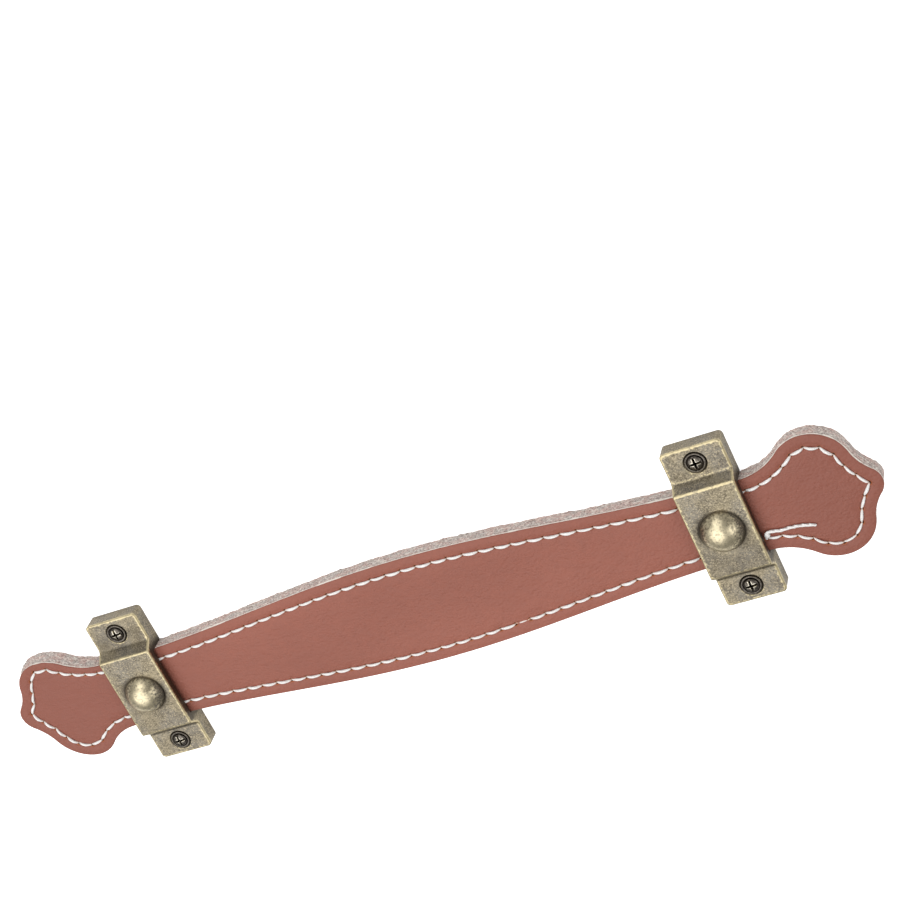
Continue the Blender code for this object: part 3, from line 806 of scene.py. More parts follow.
# %% [markdown]
# The core is extruded from the same outline in thin layers, and each wall vertex is then pushed
# out or in along its own outward direction. Two noises do it: a slow one for the wander of the
# cutting knife and a fast one, stretched along the strap, for the fibres. At the left head the
# fibre splays out towards its foot, so the wall there leans outwards. The lower edge was cut the
# other way, with the knife leaning in under the coat.

# %% The strap's core
CORE_LAYERS = 12
KNIFE_WANDER = 0.12 * MM
FIBRE_RELIEF = 0.20 * MM
SPLAY_AT_LEFT = 0.75 * MM
SPLAY_ELSEWHERE = 0.10 * MM
SPLAY_RUN = 6 * MM
UNDERCUT = 0.32 * MM
LOWER_SHARE = 0.4
KNIFE_WAVES = (180, 180, 120)
FIBRE_WAVES = (900, 900, 2600)


def stretched_by(place, waves):
    """A place in the noise, which then has that many waves a metre along each axis."""
    return [part * count for part, count in zip(place, waves)]


def core_push(place, outward):
    """How far a wall vertex of the core lies outside the outline."""
    foot = 1.0 - (place.z - CORE_BASE) / (CORE_TOP - CORE_BASE)
    at_left = held((-BRACKET_X - BRACKET_HALF_WIDTH - place.x) / SPLAY_RUN)
    splay = SPLAY_ELSEWHERE + (SPLAY_AT_LEFT - SPLAY_ELSEWHERE) * at_left
    upper = held(0.5 + outward.y)
    wander = noise.noise(stretched_by(place, KNIFE_WAVES))
    fibres = noise.fractal(stretched_by(place, FIBRE_WAVES), 0.8, 2.0, 3)
    rough = KNIFE_WANDER * wander + FIBRE_RELIEF * fibres
    kept = LOWER_SHARE + (1 - LOWER_SHARE) * upper
    return (splay * foot + rough) * kept - UNDERCUT * (1.0 - upper)


def make_core():
    bm = bmesh.new()
    face = bm.faces.new([bm.verts.new((p.x, p.y, CORE_BASE)) for p, _ in STRAP_EDGE])
    for _ in range(CORE_LAYERS):
        face = extrude(bm, face, (0, 0, (CORE_TOP - CORE_BASE) / CORE_LAYERS))
    face_outwards(bm)
    for vert in bm.verts:
        _, index, _ = EDGE_TREE.find((vert.co.x, vert.co.y, 0.0))
        outward = STRAP_EDGE[index][1]
        push = core_push(vert.co, outward)
        vert.co.x += outward.x * push
        vert.co.y += outward.y * push
    finish_piece(bm, "fibre_core", FIBRE, "pressed_fibre", "strap_core")


make_core()

# %% [markdown]
# Loose fibres stand out of the cut edge and make its outline soft. Each is a three-sided spike
# made by one cone operator and set at a random place on the wall, leaning a random way. The
# random numbers are seeded, so every run gives the same fuzz.

# %% Loose fibres on the cut edge
FIBRE_COUNT = 2400
FIBRE_LENGTHS = (0.2 * MM, 0.65 * MM)
FIBRE_RADIUS = 0.028 * MM
FIBRE_ROOT = 0.1 * MM
LOWEST_FIBRE = 0.3 * MM
FRAYED_FROM = -0.2
LEAN = 1.1
FUZZ_SEED = 11


def make_fuzz():
    chance = random.Random(FUZZ_SEED)
    bm = bmesh.new()
    frayed = [(place, outward) for place, outward in STRAP_EDGE if outward.y > FRAYED_FROM]
    for _ in range(FIBRE_COUNT):
        place, outward = chance.choice(frayed)
        height = chance.uniform(CORE_BASE + LOWEST_FIBRE, CORE_TOP)
        out = Vector((*outward, 0.0))
        lean = Vector((chance.gauss(0, LEAN), chance.gauss(0, LEAN), chance.gauss(0, LEAN / 2)))
        direction = (out + lean - out * min(0.0, lean.dot(out))).normalized()
        length = chance.uniform(*FIBRE_LENGTHS)
        start = Vector((*place, height))
        start += out * core_push(start, outward)
        turn = direction.to_track_quat("Z", "Y").to_matrix().to_4x4()
        middle = start + direction * (length / 2 - FIBRE_ROOT)
        bmesh.ops.create_cone(
            bm, segments=3, radius1=FIBRE_RADIUS, radius2=FIBRE_RADIUS / 3, depth=length,
            cap_ends=True, matrix=Matrix.Translation(middle) @ turn,
        )
    finish_piece(bm, "loose_fibres", FIBRE, "pressed_fibre")


make_fuzz()

# %% [markdown]
# Thread is three plies twisted together, so its section is a clover leaf that turns as it goes.
# Blender's curves can do this: a curve takes its section from a second curve, and each of its
# points can be tilted and made thicker or thinner. The thread's path is worked out stitch by
# stitch. It comes up from a needle hole, lies over the skin in a low arch and goes down again.

# %% Helpers for thread
PLIES = 3
PLY_DEPTH = 0.055
SECTION_POINTS = 15
TWIST_LENGTH = 3.0 * MM
THREAD_RADIUS = 0.43 * MM
MERGE_WITHIN = 0.001 * MM


def clover_section(radius):
    """A closed flat curve with one lobe for each ply."""
    data = bpy.data.curves.new("ply_section", "CURVE")
    data.dimensions = "2D"
    spline = data.splines.new("POLY")
    spline.points.add(SECTION_POINTS - 1)
    spline.use_cyclic_u = True
    for index, point in enumerate(spline.points):
        angle = 2 * math.pi * index / SECTION_POINTS
        reach = radius * (1 - PLY_DEPTH * (0.5 - 0.5 * math.cos(PLIES * angle)) * 2)
        point.co = (reach * math.cos(angle), reach * math.sin(angle), 0.0, 1.0)
    return put_in_scene("ply_section", data)


def thread_mesh(name, path, radius):
    """A twisted thread along a path of (point, thickness) pairs, as a bmesh."""
    section = clover_section(radius)
    data = bpy.data.curves.new(name, "CURVE")
    data.dimensions = "3D"
    data.twist_mode = "Z_UP"
    data.bevel_mode = "OBJECT"
    data.bevel_object = section
    data.use_fill_caps = True
    spline = data.splines.new("POLY")
    spline.points.add(len(path) - 1)
    travelled = 0.0
    last = path[0][0]
    for slot, (place, thickness) in zip(spline.points, path):
        travelled += (place - last).length
        last = place
        slot.co = (*place, 1.0)
        slot.radius = thickness
        slot.tilt = travelled / TWIST_LENGTH * 2 * math.pi / PLIES
    guide = put_in_scene(name, data)
    graph = bpy.context.evaluated_depsgraph_get()
    shaped = bpy.data.meshes.new_from_object(guide.evaluated_get(graph))
    bm = bmesh.new()
    bm.from_mesh(shaped)
    bmesh.ops.remove_doubles(bm, verts=bm.verts, dist=MERGE_WITHIN)
    face_outwards(bm)
    for helper in (guide, section):
        bpy.data.objects.remove(helper)
    return bm


# %% [markdown]
# The needle thread begins with its loose end on the right head. It runs back to the bracket,
# loops round itself in a small knot and enters the first hole, and from there the stitches go
# all the way round. Tension makes each stitch a straight line seen from above, thickest and
# highest at its middle, and no two are quite alike. The first few were pulled tight and are thin,
# and one stitch of the lower row has sunk into the skin, as on the real one.

# %% The needle thread
STITCH_POINTS = 16
DIVE = 0.68 * MM
CREST = 0.17 * MM
CREST_VARIES = 0.05 * MM
ARCH_POWER = 0.75
STITCH_SLANT = 0.08 * MM
END_THICKNESS = 0.42
BODY_THICKNESS = 0.88
BODY_VARIES = 0.08
TIGHT_STITCHES = 6
TIGHT_THICKNESS = 0.72
SUNK_STITCH_X = 21.5 * MM
SUNK_BY = 0.55 * MM
SUNK_THICKNESS = 0.66
TAIL_END = (0.45, 0.85)
TAIL = (
    (100.35, -6.52, 0.40), (100.1, -6.43, 0.40), (98.8, -5.95, 0.42), (97.2, -5.6, 0.42),
    (95.5, -5.35, 0.42), (93.8, -5.3, 0.42), (92.1, -5.35, 0.42), (90.7, -5.1, 0.45),
    (89.7, -4.85, 0.55),
    (89.0, -4.75, 0.72), (88.55, -5.0, 0.85), (88.35, -5.5, 0.78), (88.5, -5.95, 0.50),
    (88.9, -5.95, 0.35), (89.1, -5.55, 0.50), (88.9, -5.2, 0.80), (88.5, -5.4, 0.92),
    (88.25, -6.0, 0.60), (88.1, -6.6, 0.10),
)
KNOT_END = 89.4
KNOT_THICKNESS = 0.8
UNEVEN_SEED = 5
DIP_SHADE_BELOW = 0.05 * MM
DIP_SHADE_RUN = 0.4 * MM


def stitch_points(start, end, sunk, body):
    """One stitch from hole to hole as (point, thickness) pairs, without its last point."""
    along = end - start
    side = Vector((-along.y, along.x)).normalized()
    found = []
    for step in range(STITCH_POINTS):
        share = step / STITCH_POINTS
        arch = math.sin(math.pi * share) ** ARCH_POWER if step else 0.0
        place = start + along * share + side * STITCH_SLANT * (1 - 2 * share)
        height = SKIN_TOP - DIVE + (DIVE + CREST - sunk) * arch
        found.append((Vector((*place, height)), END_THICKNESS + (body - END_THICKNESS) * arch))
    return found


def make_needle_thread():
    path = []
    for x, y, z in TAIL:
        thickness = KNOT_THICKNESS if x < KNOT_END else 1.0
        path.append((Vector((x * MM, y * MM, SKIN_TOP + z * MM)), thickness))
    for index, thickness in enumerate(TAIL_END):
        path[index] = (path[index][0], thickness)
    chance = random.Random(UNEVEN_SEED)
    for index, (start, end) in enumerate(zip(HOLES, HOLES[1:])):
        middle = (start + end) / 2
        depth = chance.uniform(-CREST_VARIES, CREST_VARIES)
        body = TIGHT_THICKNESS if index < TIGHT_STITCHES else BODY_THICKNESS
        body += chance.uniform(-BODY_VARIES, BODY_VARIES)
        if abs(middle.x - SUNK_STITCH_X) < STITCH_PITCH / 2 and middle.y < 0:
            depth, body = SUNK_BY, SUNK_THICKNESS
        path += stitch_points(start, end, depth, body)
    path.append((Vector((*HOLES[-1], SKIN_TOP - DIVE)), END_THICKNESS))
    bm = thread_mesh("needle_path", path, THREAD_RADIUS)
    # Painted shade where the thread dips below the skin into a needle hole.
    dip_shade = bm.verts.layers.float.new("dip_shade")
    for vert in bm.verts:
        vert[dip_shade] = held((SKIN_TOP - DIP_SHADE_BELOW - vert.co.z) / DIP_SHADE_RUN)
    finish_piece(bm, "needle_stitches", THREAD, "white_thread", "needle_thread")


make_needle_thread()

# %% [markdown]
# The bobbin thread locks the stitches from below. It is hidden against the drawer's front, so
# the same helper makes it with a point only every half stitch.

# %% The bobbin thread
BOBBIN_RADIUS = 0.3 * MM
BOBBIN_SWING = 0.06 * MM
BOBBIN_PINCH = 0.9


def make_bobbin_thread():
    low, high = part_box("bobbin_thread")
    middle = (low.z + high.z) / 2
    path = []
    for a, b in zip(HOLES, HOLES[1:]):
        path.append((Vector((*a, middle + BOBBIN_SWING)), BOBBIN_PINCH))
        path.append((Vector((*((a + b) / 2), middle - BOBBIN_SWING)), 1.0))
    bm = thread_mesh("bobbin_path", path, BOBBIN_RADIUS)
    bm.verts.layers.float.new("dip_shade")
    finish_piece(bm, "bobbin_stitches", THREAD, "white_thread", "bobbin_thread")


make_bobbin_thread()

# %% [markdown]
# Wear follows shape: corners that stick out are rubbed, and hollows keep their dark film. So the
# masks are read off the finished mesh. Edges that bend outwards sharply are gathered as wear
# points and edges that bend inwards as hollow points, and each vertex then takes its masks from
# its distance to the nearest of them. On the screws the same masks paint glints on the recess's
# corners, and film with painted shade in its hollows. This needs vertices every half millimetre or
# so, which is why the flats are cut into a grid first.

# %% Helper for worn edges, painted glints and hollows
CONVEX_ANGLE = math.radians(8)
HOLLOW_ANGLE = math.radians(20)


def mark_edges_and_hollows(bm, edge_reach, hollow_reach, exposed):
    """Adds a mask for worn edges and painted glints, one for film and painted shade in hollows, and
    an empty one named polish; only exposed places get the first.
    """
    wear_and_glints = bm.verts.layers.float.new("wear_and_glints")
    film_and_shade_mask = bm.verts.layers.float.new("film_and_shade_mask")
    bm.verts.layers.float.new("polish")
    bent = {1: [], -1: []}
    for edge in bm.edges:
        if len(edge.link_faces) == 2:
            angle = edge.calc_face_angle_signed()
            places = [vert.co.copy() for vert in edge.verts]
            if angle < -HOLLOW_ANGLE:
                bent[-1] += places
            elif angle > CONVEX_ANGLE and all(exposed(place) for place in places):
                bent[1] += places
    for sign, layer, reach in ((1, wear_and_glints, edge_reach), (-1, film_and_shade_mask, hollow_reach)):
        if bent[sign]:
            tree = search_tree(bent[sign])
            for vert in bm.verts:
                vert[layer] = gauss(tree.find(vert.co)[2], reach)


# %% [markdown]
# Brackets and screws are solids that are added to and cut into one another. A turned solid is
# half a profile, spun all the way round its axis. Each stays a helper object only until a Boolean
# has used it.

# %% Helpers for solids
def helper_object(bm, name):
    face_outwards(bm)
    return put_in_scene(name, mesh_of(bm, name))


def revolve(name, profile, segments, centre=(0, 0, 0)):
    """A turned helper from (radius, height) points that begin and end on the axis."""
    bm = bmesh.new()
    verts = [bm.verts.new((radius, 0.0, height)) for radius, height in profile]
    edges = [bm.edges.new(pair) for pair in zip(verts, verts[1:])]
    bmesh.ops.spin(
        bm, geom=verts + edges, axis=(0, 0, 1), cent=(0, 0, 0), angle=2 * math.pi,
        steps=segments, use_merge=True,
    )
    bmesh.ops.remove_doubles(bm, verts=bm.verts, dist=MERGE_WITHIN)
    bmesh.ops.translate(bm, verts=bm.verts, vec=centre)
    return helper_object(bm, name)


def combined(base, tools):
    """The base object after its Boolean tools, as a bmesh; base and tools are removed."""
    for tool, operation in tools:
        cut = base.modifiers.new(tool.name, "BOOLEAN")
        cut.operation = operation
        cut.object = tool
    bpy.context.view_layer.update()
    graph = bpy.context.evaluated_depsgraph_get()
    shaped = bpy.data.meshes.new_from_object(base.evaluated_get(graph))
    bm = bmesh.new()
    bm.from_mesh(shaped)
    for helper in (base, *(tool for tool, _ in tools)):
        bpy.data.objects.remove(helper)
    return bm


def bevel(bm, edges, offset, segments, clamp_overlap=False):
    """Rounds these edges over."""
    bmesh.ops.bevel(
        bm, geom=edges, offset=offset, offset_type="OFFSET", segments=segments, profile=0.5,
        affect="EDGES", material=-1, clamp_overlap=clamp_overlap,
    )


# %% [markdown]
# Each bracket is one casting: two feet, a bridge that steps up over the strap, and a dome. Its
# section is drawn from the side and extruded across. Three bevels then go round the block in
# turn: the upright corners, the hollow of each step and the rims.

# %% The bracket's block
FOOT_TOP = 4.5 * MM
CHANNEL_HALF = 10.2 * MM
CHANNEL_TOP = 5.23 * MM
BRIDGE_TOP = 7.58 * MM
BRIDGE_HALF = 11.83 * MM
STEP_RUN = 1.91 * MM
BRACKET_HALF_LENGTH = right_high.y
PLAN_CORNER = 1.1 * MM
STEP_FILLET = 0.55 * MM
EDGE_ROUND = 0.38 * MM
LEVEL = 0.25


def casting():
    """The bracket's stepped block about its own middle, with its rims rounded."""
    half = (
        (CHANNEL_HALF, CHANNEL_TOP),
        (CHANNEL_HALF, 0.0),
        (BRACKET_HALF_LENGTH, 0.0),
        (BRACKET_HALF_LENGTH, FOOT_TOP),
        (BRIDGE_HALF + STEP_RUN, FOOT_TOP),
        (BRIDGE_HALF, BRIDGE_TOP),
    )
    section = [*half, *((-y, z) for y, z in reversed(half))]
    bm = bmesh.new()
    side = bm.faces.new([bm.verts.new((-BRACKET_HALF_WIDTH, y, z)) for y, z in section])
    extrude(bm, side, (2 * BRACKET_HALF_WIDTH, 0, 0))
    bmesh.ops.recalc_face_normals(bm, faces=bm.faces)
    corners = [
        edge for edge in bm.edges
        if all(abs(vert.co.y) > BRACKET_HALF_LENGTH - EDGE_ROUND for vert in edge.verts)
        and abs(edge.verts[0].co.z - edge.verts[1].co.z) > EDGE_ROUND
    ]
    bevel(bm, corners, PLAN_CORNER, segments=8)
    bm.normal_update()
    steps = [
        edge for edge in bm.edges
        if edge.calc_face_angle_signed() < -HOLLOW_ANGLE
        and min(face.normal.z for face in edge.link_faces) > LEVEL
    ]
    bevel(bm, steps, STEP_FILLET, segments=5)
    bm.normal_update()
    rims = []
    for edge in bm.edges:
        lower, upper = sorted(face.normal.z for face in edge.link_faces)
        rim = abs(lower) < LEVEL < upper
        step = lower > LEVEL and edge.calc_face_angle() > CRISP_ANGLE
        if rim or step:
            rims.append(edge)
    bevel(bm, rims, EDGE_ROUND, segments=4, clamp_overlap=True)
    return bm


print("bridge, mm:", round(2 * BRIDGE_HALF / MM, 2), "long,", round(BRIDGE_TOP / MM, 2), "high")

# %% [markdown]
# Booleans finish the block, as a pattern maker would add a boss and then drill the feet: one cuts
# the round groove, one adds the dome, and two cut the screw holes with their cones. Every tool
# stands out of the block on its open side, so that no thin skin is left. The dome is a slice of a
# ball on a short root.

# %% The dome, the groove and the screw holes
DOME_RADIUS = 5.42 * MM
DOME_HEIGHT = right_high.z - BRIDGE_TOP
DOME_STEPS = 22
DOME_ROOT = 0.6 * MM
GROOVE_WIDTH = 0.15 * MM
GROOVE_SINK = 0.06 * MM
SCREW_Y = 17.53 * MM
SCREW_HOLE = 2.78 * MM
SCREW_BORE = 1.65 * MM
HOLE_CHAMFER = 0.14 * MM
STAND_OUT = 1 * MM
TURNED_SEGMENTS = 96
FLAT_GRID = 0.55 * MM


def dome_profile():
    ball = (DOME_RADIUS**2 + DOME_HEIGHT**2) / (2 * DOME_HEIGHT)
    reach = math.asin(DOME_RADIUS / ball)
    dome_top = BRIDGE_TOP + DOME_HEIGHT
    points = []
    for step in range(DOME_STEPS + 1):
        angle = reach * step / DOME_STEPS
        points.append((ball * math.sin(angle), dome_top - ball * (1 - math.cos(angle))))
    root = BRIDGE_TOP - GROOVE_SINK - DOME_ROOT
    return points + [(DOME_RADIUS, root), (0.0, root)]


def groove_profile():
    rim = DOME_RADIUS + GROOVE_WIDTH
    top = BRIDGE_TOP + STAND_OUT
    floor = BRIDGE_TOP - GROOVE_SINK
    return [
        (0.0, top), (rim + 0.2 * MM, top), (rim + 0.1 * MM, BRIDGE_TOP), (rim, floor), (0.0, floor),
    ]


def hole_profile():
    top = FOOT_TOP + STAND_OUT
    cone_foot = FOOT_TOP - (SCREW_HOLE - SCREW_BORE)
    mouth = SCREW_HOLE + HOLE_CHAMFER
    return [
        (0.0, top), (mouth, top), (mouth, FOOT_TOP), (SCREW_HOLE, FOOT_TOP - HOLE_CHAMFER),
        (SCREW_BORE, cone_foot), (SCREW_BORE, -STAND_OUT), (0.0, -STAND_OUT),
    ]


def shaped_casting():
    """The whole casting, with its flats cut into a grid that is fine enough for the masks."""
    base = helper_object(casting(), "casting")
    tools = [
        (revolve("groove", groove_profile(), TURNED_SEGMENTS), "DIFFERENCE"),
        (revolve("dome", dome_profile(), TURNED_SEGMENTS), "UNION"),
    ]
    for y in (SCREW_Y, -SCREW_Y):
        tools.append((revolve("hole", hole_profile(), TURNED_SEGMENTS, (0, y, 0)), "DIFFERENCE"))
    bm = combined(base, tools)
    for axis, reach in ((0, BRACKET_HALF_WIDTH), (1, BRACKET_HALF_LENGTH)):
        cut_grid(bm, list(bm.faces), -reach, reach, FLAT_GRID, axis)
    cut_grid(bm, list(bm.faces), 0.0, BRIDGE_TOP, FLAT_GRID, 2)
    return bm


print("dome, mm:", round(2 * DOME_RADIUS / MM, 2), "across,", round(DOME_HEIGHT / MM, 2), "high")

# %% [markdown]
# Hands and cloths rub some places of a casting and never reach others. The functions below say
# which: nothing is rubbed in the channel, the groove or a hole, and the bridge's sides keep a dark
# film with painted shade over it. A hole's lower rim and the line of the step get painted
# highlights.

# %% Where a bracket is rubbed, and its painted shade and highlights
HOLE_MARGIN = 0.3 * MM
GROOVE_MARGIN = 0.4 * MM
FACE_MARGIN = 0.1 * MM
SIDE_MARGIN = 0.2 * MM
# Dark film and painted shade on the bridge's sides and underside, next to the strap.
SIDE_FILM_AND_SHADE = 0.85
SIDE_FILM_AND_SHADE_DEEPENS = 0.4 * MM
SIDE_FILM_AND_SHADE_PAST = 0.9 * MM
SIDE_FILM_AND_SHADE_FADES = 1.5 * MM
# Painted highlights: a line along the step, and the lower rim of each screw hole.
LINE_OFFSET = 0.1 * MM
LINE_REACH = 0.22 * MM
LINE_HEIGHT = 0.6 * MM
MOUTH_STARTS = 0.02 * MM
MOUTH_SINK = 0.25 * MM
MOUTH_HIGHLIGHT = 0.9


def from_hole(place):
    """The way to a place from the axis of the nearer screw hole, seen from above."""
    ways = [place.xy - Vector((0, y)) for y in (SCREW_Y, -SCREW_Y)]
    return min(ways, key=lambda way: way.length)


def rubbed_place(place):
    """Whether a place on the casting gets rubbed: not in the channel, the groove or a hole."""
    if from_hole(place).length < SCREW_HOLE + HOLE_MARGIN:
        return False
    if place.z > BRIDGE_TOP - EDGE_ROUND - FACE_MARGIN:
        return place.xy.length > DOME_RADIUS + GROOVE_WIDTH + GROOVE_MARGIN
    above = place.z > FOOT_TOP - EDGE_ROUND - FACE_MARGIN
    return above and abs(place.y) > BRIDGE_HALF - SIDE_MARGIN


def side_film_and_shade(place):
    """How much dark film and painted shade the bridge's sides and underside get, where no hand
    reaches.
    """
    below = held((BRIDGE_TOP - EDGE_ROUND - place.z) / SIDE_FILM_AND_SHADE_DEEPENS)
    inside = held((BRIDGE_HALF + SIDE_FILM_AND_SHADE_PAST - abs(place.y)) / SIDE_FILM_AND_SHADE_FADES)
    return SIDE_FILM_AND_SHADE * below * inside


def step_highlight(place, amount):
    """A painted highlight along the line where the upper foot meets the step."""
    away = abs(place.y - BRIDGE_HALF - STEP_RUN - LINE_OFFSET)
    on_line = FOOT_TOP - SIDE_MARGIN < place.z < FOOT_TOP + LINE_HEIGHT
    return amount * gauss(away, LINE_REACH) if on_line else 0.0


def mouth_highlight(place):
    """How bright a painted highlight the rim of a screw hole gets, on its lower half only."""
    away = from_hole(place)
    on_rim = SCREW_HOLE + MOUTH_STARTS < away.length < SCREW_HOLE + HOLE_MARGIN
    if not on_rim or place.z < FOOT_TOP - MOUTH_SINK:
        return 0.0
    return MOUTH_HIGHLIGHT * max(0.0, -away.normalized().y)


print("rubbed corners keep off the holes by", round(HOLE_MARGIN / MM, 2), "mm")

# %% [markdown]
# The dome is rubbed brightest of all on its middle, while its two sides get a painted dark
# reflection down to the groove. On the flats the darkening lies in clouds. The two brackets are
# painted differently: the left one gets painted shade on its upper foot towards the step, and on
# the right one the bridge's lower half is darker in clouds and the line of the step gets a painted
# highlight. A little noise along the normals then takes the machine-made straightness out of the
# casting.

# %% The cast brackets
# Painted dark reflection on the dome's two flanks, strongest along this axis.
FLANK_SHADE_AXIS = Vector((-0.95, 0.30))
FLANK_FROM = 0.55
FLANK_RUN = 0.4
FLANK_SHADE = 0.62
GROOVE_FILM_LEFT = 0.15
POLISH_RUN = 1.1 * MM
FLANK_SHADE_DIMS_POLISH = 0.8
CLOUDS = {"base": 0.75, "swing": 0.8, "waves": 420, "slices": 9}
# Painted shade on the upper foot towards the step, and a darkening in clouds on the bridge's lower
# half.
FOOT_SHADE_REACH = 4.5 * MM
BRIDGE_DARKENING_START = -1 * MM
BRIDGE_DARKENING_RUN = 5 * MM
CAST_RELIEF = 0.025 * MM
BACK_KEPT_FLAT = 0.2 * MM
SLOW_WAVES = 350
FAST_WAVES = 1100
FAST_SHARE = 0.6


def flank_share(place):
    """1 where the dome's two sides meet its foot, 0 on its middle and above and below it."""
    outer = held((place.xy.length / DOME_RADIUS - FLANK_FROM) / FLANK_RUN)
    return outer * abs(place.xy.normalized().dot(FLANK_SHADE_AXIS)) ** 2


def foot_shade_and_bridge_clouds(place, foot_shade, bridge_darkening):
    """Painted shade in clouds on the upper foot, by the step, and darkening in clouds on the
    bridge's lower half.
    """
    waves = CLOUDS["waves"]
    drift = noise.noise((place.x * waves, place.y * waves, foot_shade * CLOUDS["slices"]))
    cloud = held(CLOUDS["base"] + CLOUDS["swing"] * drift)
    away = place.y - BRIDGE_HALF - STEP_RUN
    if away > 0 and place.z > FOOT_TOP - SIDE_MARGIN:
        return foot_shade * gauss(away, FOOT_SHADE_REACH) * cloud
    below = held((BRIDGE_DARKENING_START - place.y) / BRIDGE_DARKENING_RUN)
    return bridge_darkening * below * cloud if place.z > BRIDGE_TOP - FACE_MARGIN else 0.0


def mark_polish_shade_and_highlights(bm, foot_shade, bridge_darkening, line):
    """Adds the dome's polish, the painted dark reflection on its flanks, the flats' painted shade
    and darkening, the sides' film and shade and the painted highlights to the masks.
    """
    polish, film_and_shade_mask, wear_and_glints = (bm.verts.layers.float[name] for name in ("polish", "film_and_shade_mask", "wear_and_glints"))
    for vert in bm.verts:
        place = vert.co
        from_axis = place.xy.length
        if from_axis < DOME_RADIUS + 1 * MM and place.z > BRIDGE_TOP - SIDE_MARGIN:
            # The dome's flanks get a painted dark reflection, and keep the groove's film only there.
            flank = flank_share(place)
            kept = GROOVE_FILM_LEFT + (1 - GROOVE_FILM_LEFT) * flank
            vert[film_and_shade_mask] = max(vert[film_and_shade_mask] * kept, FLANK_SHADE * flank)
            if from_axis < DOME_RADIUS + FACE_MARGIN:
                risen = held((place.z - BRIDGE_TOP + SIDE_MARGIN) / POLISH_RUN)
                vert[polish] = risen * (1.0 - FLANK_SHADE_DIMS_POLISH * flank)
        elif place.z > FOOT_TOP - SIDE_MARGIN:
            vert[film_and_shade_mask] = max(vert[film_and_shade_mask], foot_shade_and_bridge_clouds(place, foot_shade, bridge_darkening))
        vert[film_and_shade_mask] = max(vert[film_and_shade_mask], side_film_and_shade(place))
        vert[wear_and_glints] = max(vert[wear_and_glints], mouth_highlight(place), step_highlight(place, line))


def roughen(bm, relief):
    """Moves vertices along their normals by a soft noise, the back face left flat."""
    bm.normal_update()
    for vert in bm.verts:
        if vert.co.z > BACK_KEPT_FLAT:
            wave = noise.noise(vert.co * SLOW_WAVES) + FAST_SHARE * noise.noise(vert.co * FAST_WAVES)
            vert.co += vert.normal * relief * wave


def make_bracket(side, x, edge_reach, foot_shade, bridge_darkening, line):
    bm = shaped_casting()
    mark_edges_and_hollows(bm, edge_reach, hollow_reach=0.3 * MM, exposed=rubbed_place)
    mark_polish_shade_and_highlights(bm, foot_shade, bridge_darkening, line)
    roughen(bm, CAST_RELIEF)
    bmesh.ops.translate(bm, verts=bm.verts, vec=(x, 0, 0))
    finish_piece(bm, f"{side}_cast_bracket", ANTIQUE_BRASS, "antique_brass", f"{side}_bracket")


make_bracket("left", -BRACKET_X, edge_reach=0.19 * MM, foot_shade=0.60, bridge_darkening=0.15, line=0.0)
make_bracket("right", BRACKET_X, edge_reach=0.22 * MM, foot_shade=0.20, bridge_darkening=0.32, line=0.70)

# %% [markdown]
# A wood screw is a turned profile, a cross recess and a helical thread. The head has a flat rim,
# a fine groove and a domed middle. Its rim is given as a table: how far each corner lies out from
# the dome's foot, or in from the head's edge, and how far down from the rim's flat.

# %% The screw's blank
HEAD_RADIUS = 2.50 * MM
RIM_HEIGHT = 0.20 * MM
RIM_WIDTH = 0.66 * MM
FINE_GROOVE = ((0.0, 0.28), (0.18, 0.28), (0.24, 0.04), (0.30, 0.0))
RIM_EDGE = ((0.1, 0.0), (0.03, 0.04), (0.0, 0.1))
HEAD_DOME = 0.80 * MM
HEAD_DOME_STEPS = 8
HEAD_SINK = 0.2 * MM
SHANK_RADIUS = 1.45 * MM
SCREW_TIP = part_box("left_upper_screw")[0].z
POINT_LENGTH = 3.2 * MM
HEAD_TOP = FOOT_TOP + HEAD_DOME


def screw_profile():
    dome_radius = HEAD_RADIUS - RIM_WIDTH
    rim_top = FOOT_TOP + RIM_HEIGHT
    points = []
    for step in range(HEAD_DOME_STEPS + 1):
        angle = math.pi / 2 * step / HEAD_DOME_STEPS
        rise = (HEAD_TOP - rim_top) * math.cos(angle)
        points.append((dome_radius * math.sin(angle), rim_top + rise))
    points += [(dome_radius + out * MM, rim_top - down * MM) for out, down in FINE_GROOVE]
    points += [(HEAD_RADIUS - back * MM, rim_top - down * MM) for back, down in RIM_EDGE]
    under = FOOT_TOP - HEAD_SINK
    return points + [
        (HEAD_RADIUS, under),
        (SHANK_RADIUS, under - (HEAD_RADIUS - SHANK_RADIUS)),
        (SHANK_RADIUS, SCREW_TIP + POINT_LENGTH),
        (0.0, SCREW_TIP),
    ]


print("screw, mm:", round((HEAD_TOP - SCREW_TIP) / MM, 2), "long")

# %% [markdown]
# The recess is a tapered plug in the shape of a plus, cut into the head. The thread is a small
# triangle that spins round the shank while it steps down a little at each turn, and it runs out
# towards the point as the shank does.

# %% The recess and the screw's thread
RECESS_REACH = 1.70 * MM
RECESS_HALF = 0.33 * MM
RECESS_DEPTH = 1.3 * MM
RECESS_TAPER = 0.4
RECESS_TURN = math.radians(2)
THREAD_PITCH = 1.3 * MM
THREAD_HEIGHT = 0.38 * MM
THREAD_ROOT = 0.05 * MM
THREAD_TOP = -0.8 * MM
THREAD_RUN_OUT = 0.9 * MM
THREAD_STEPS = 28


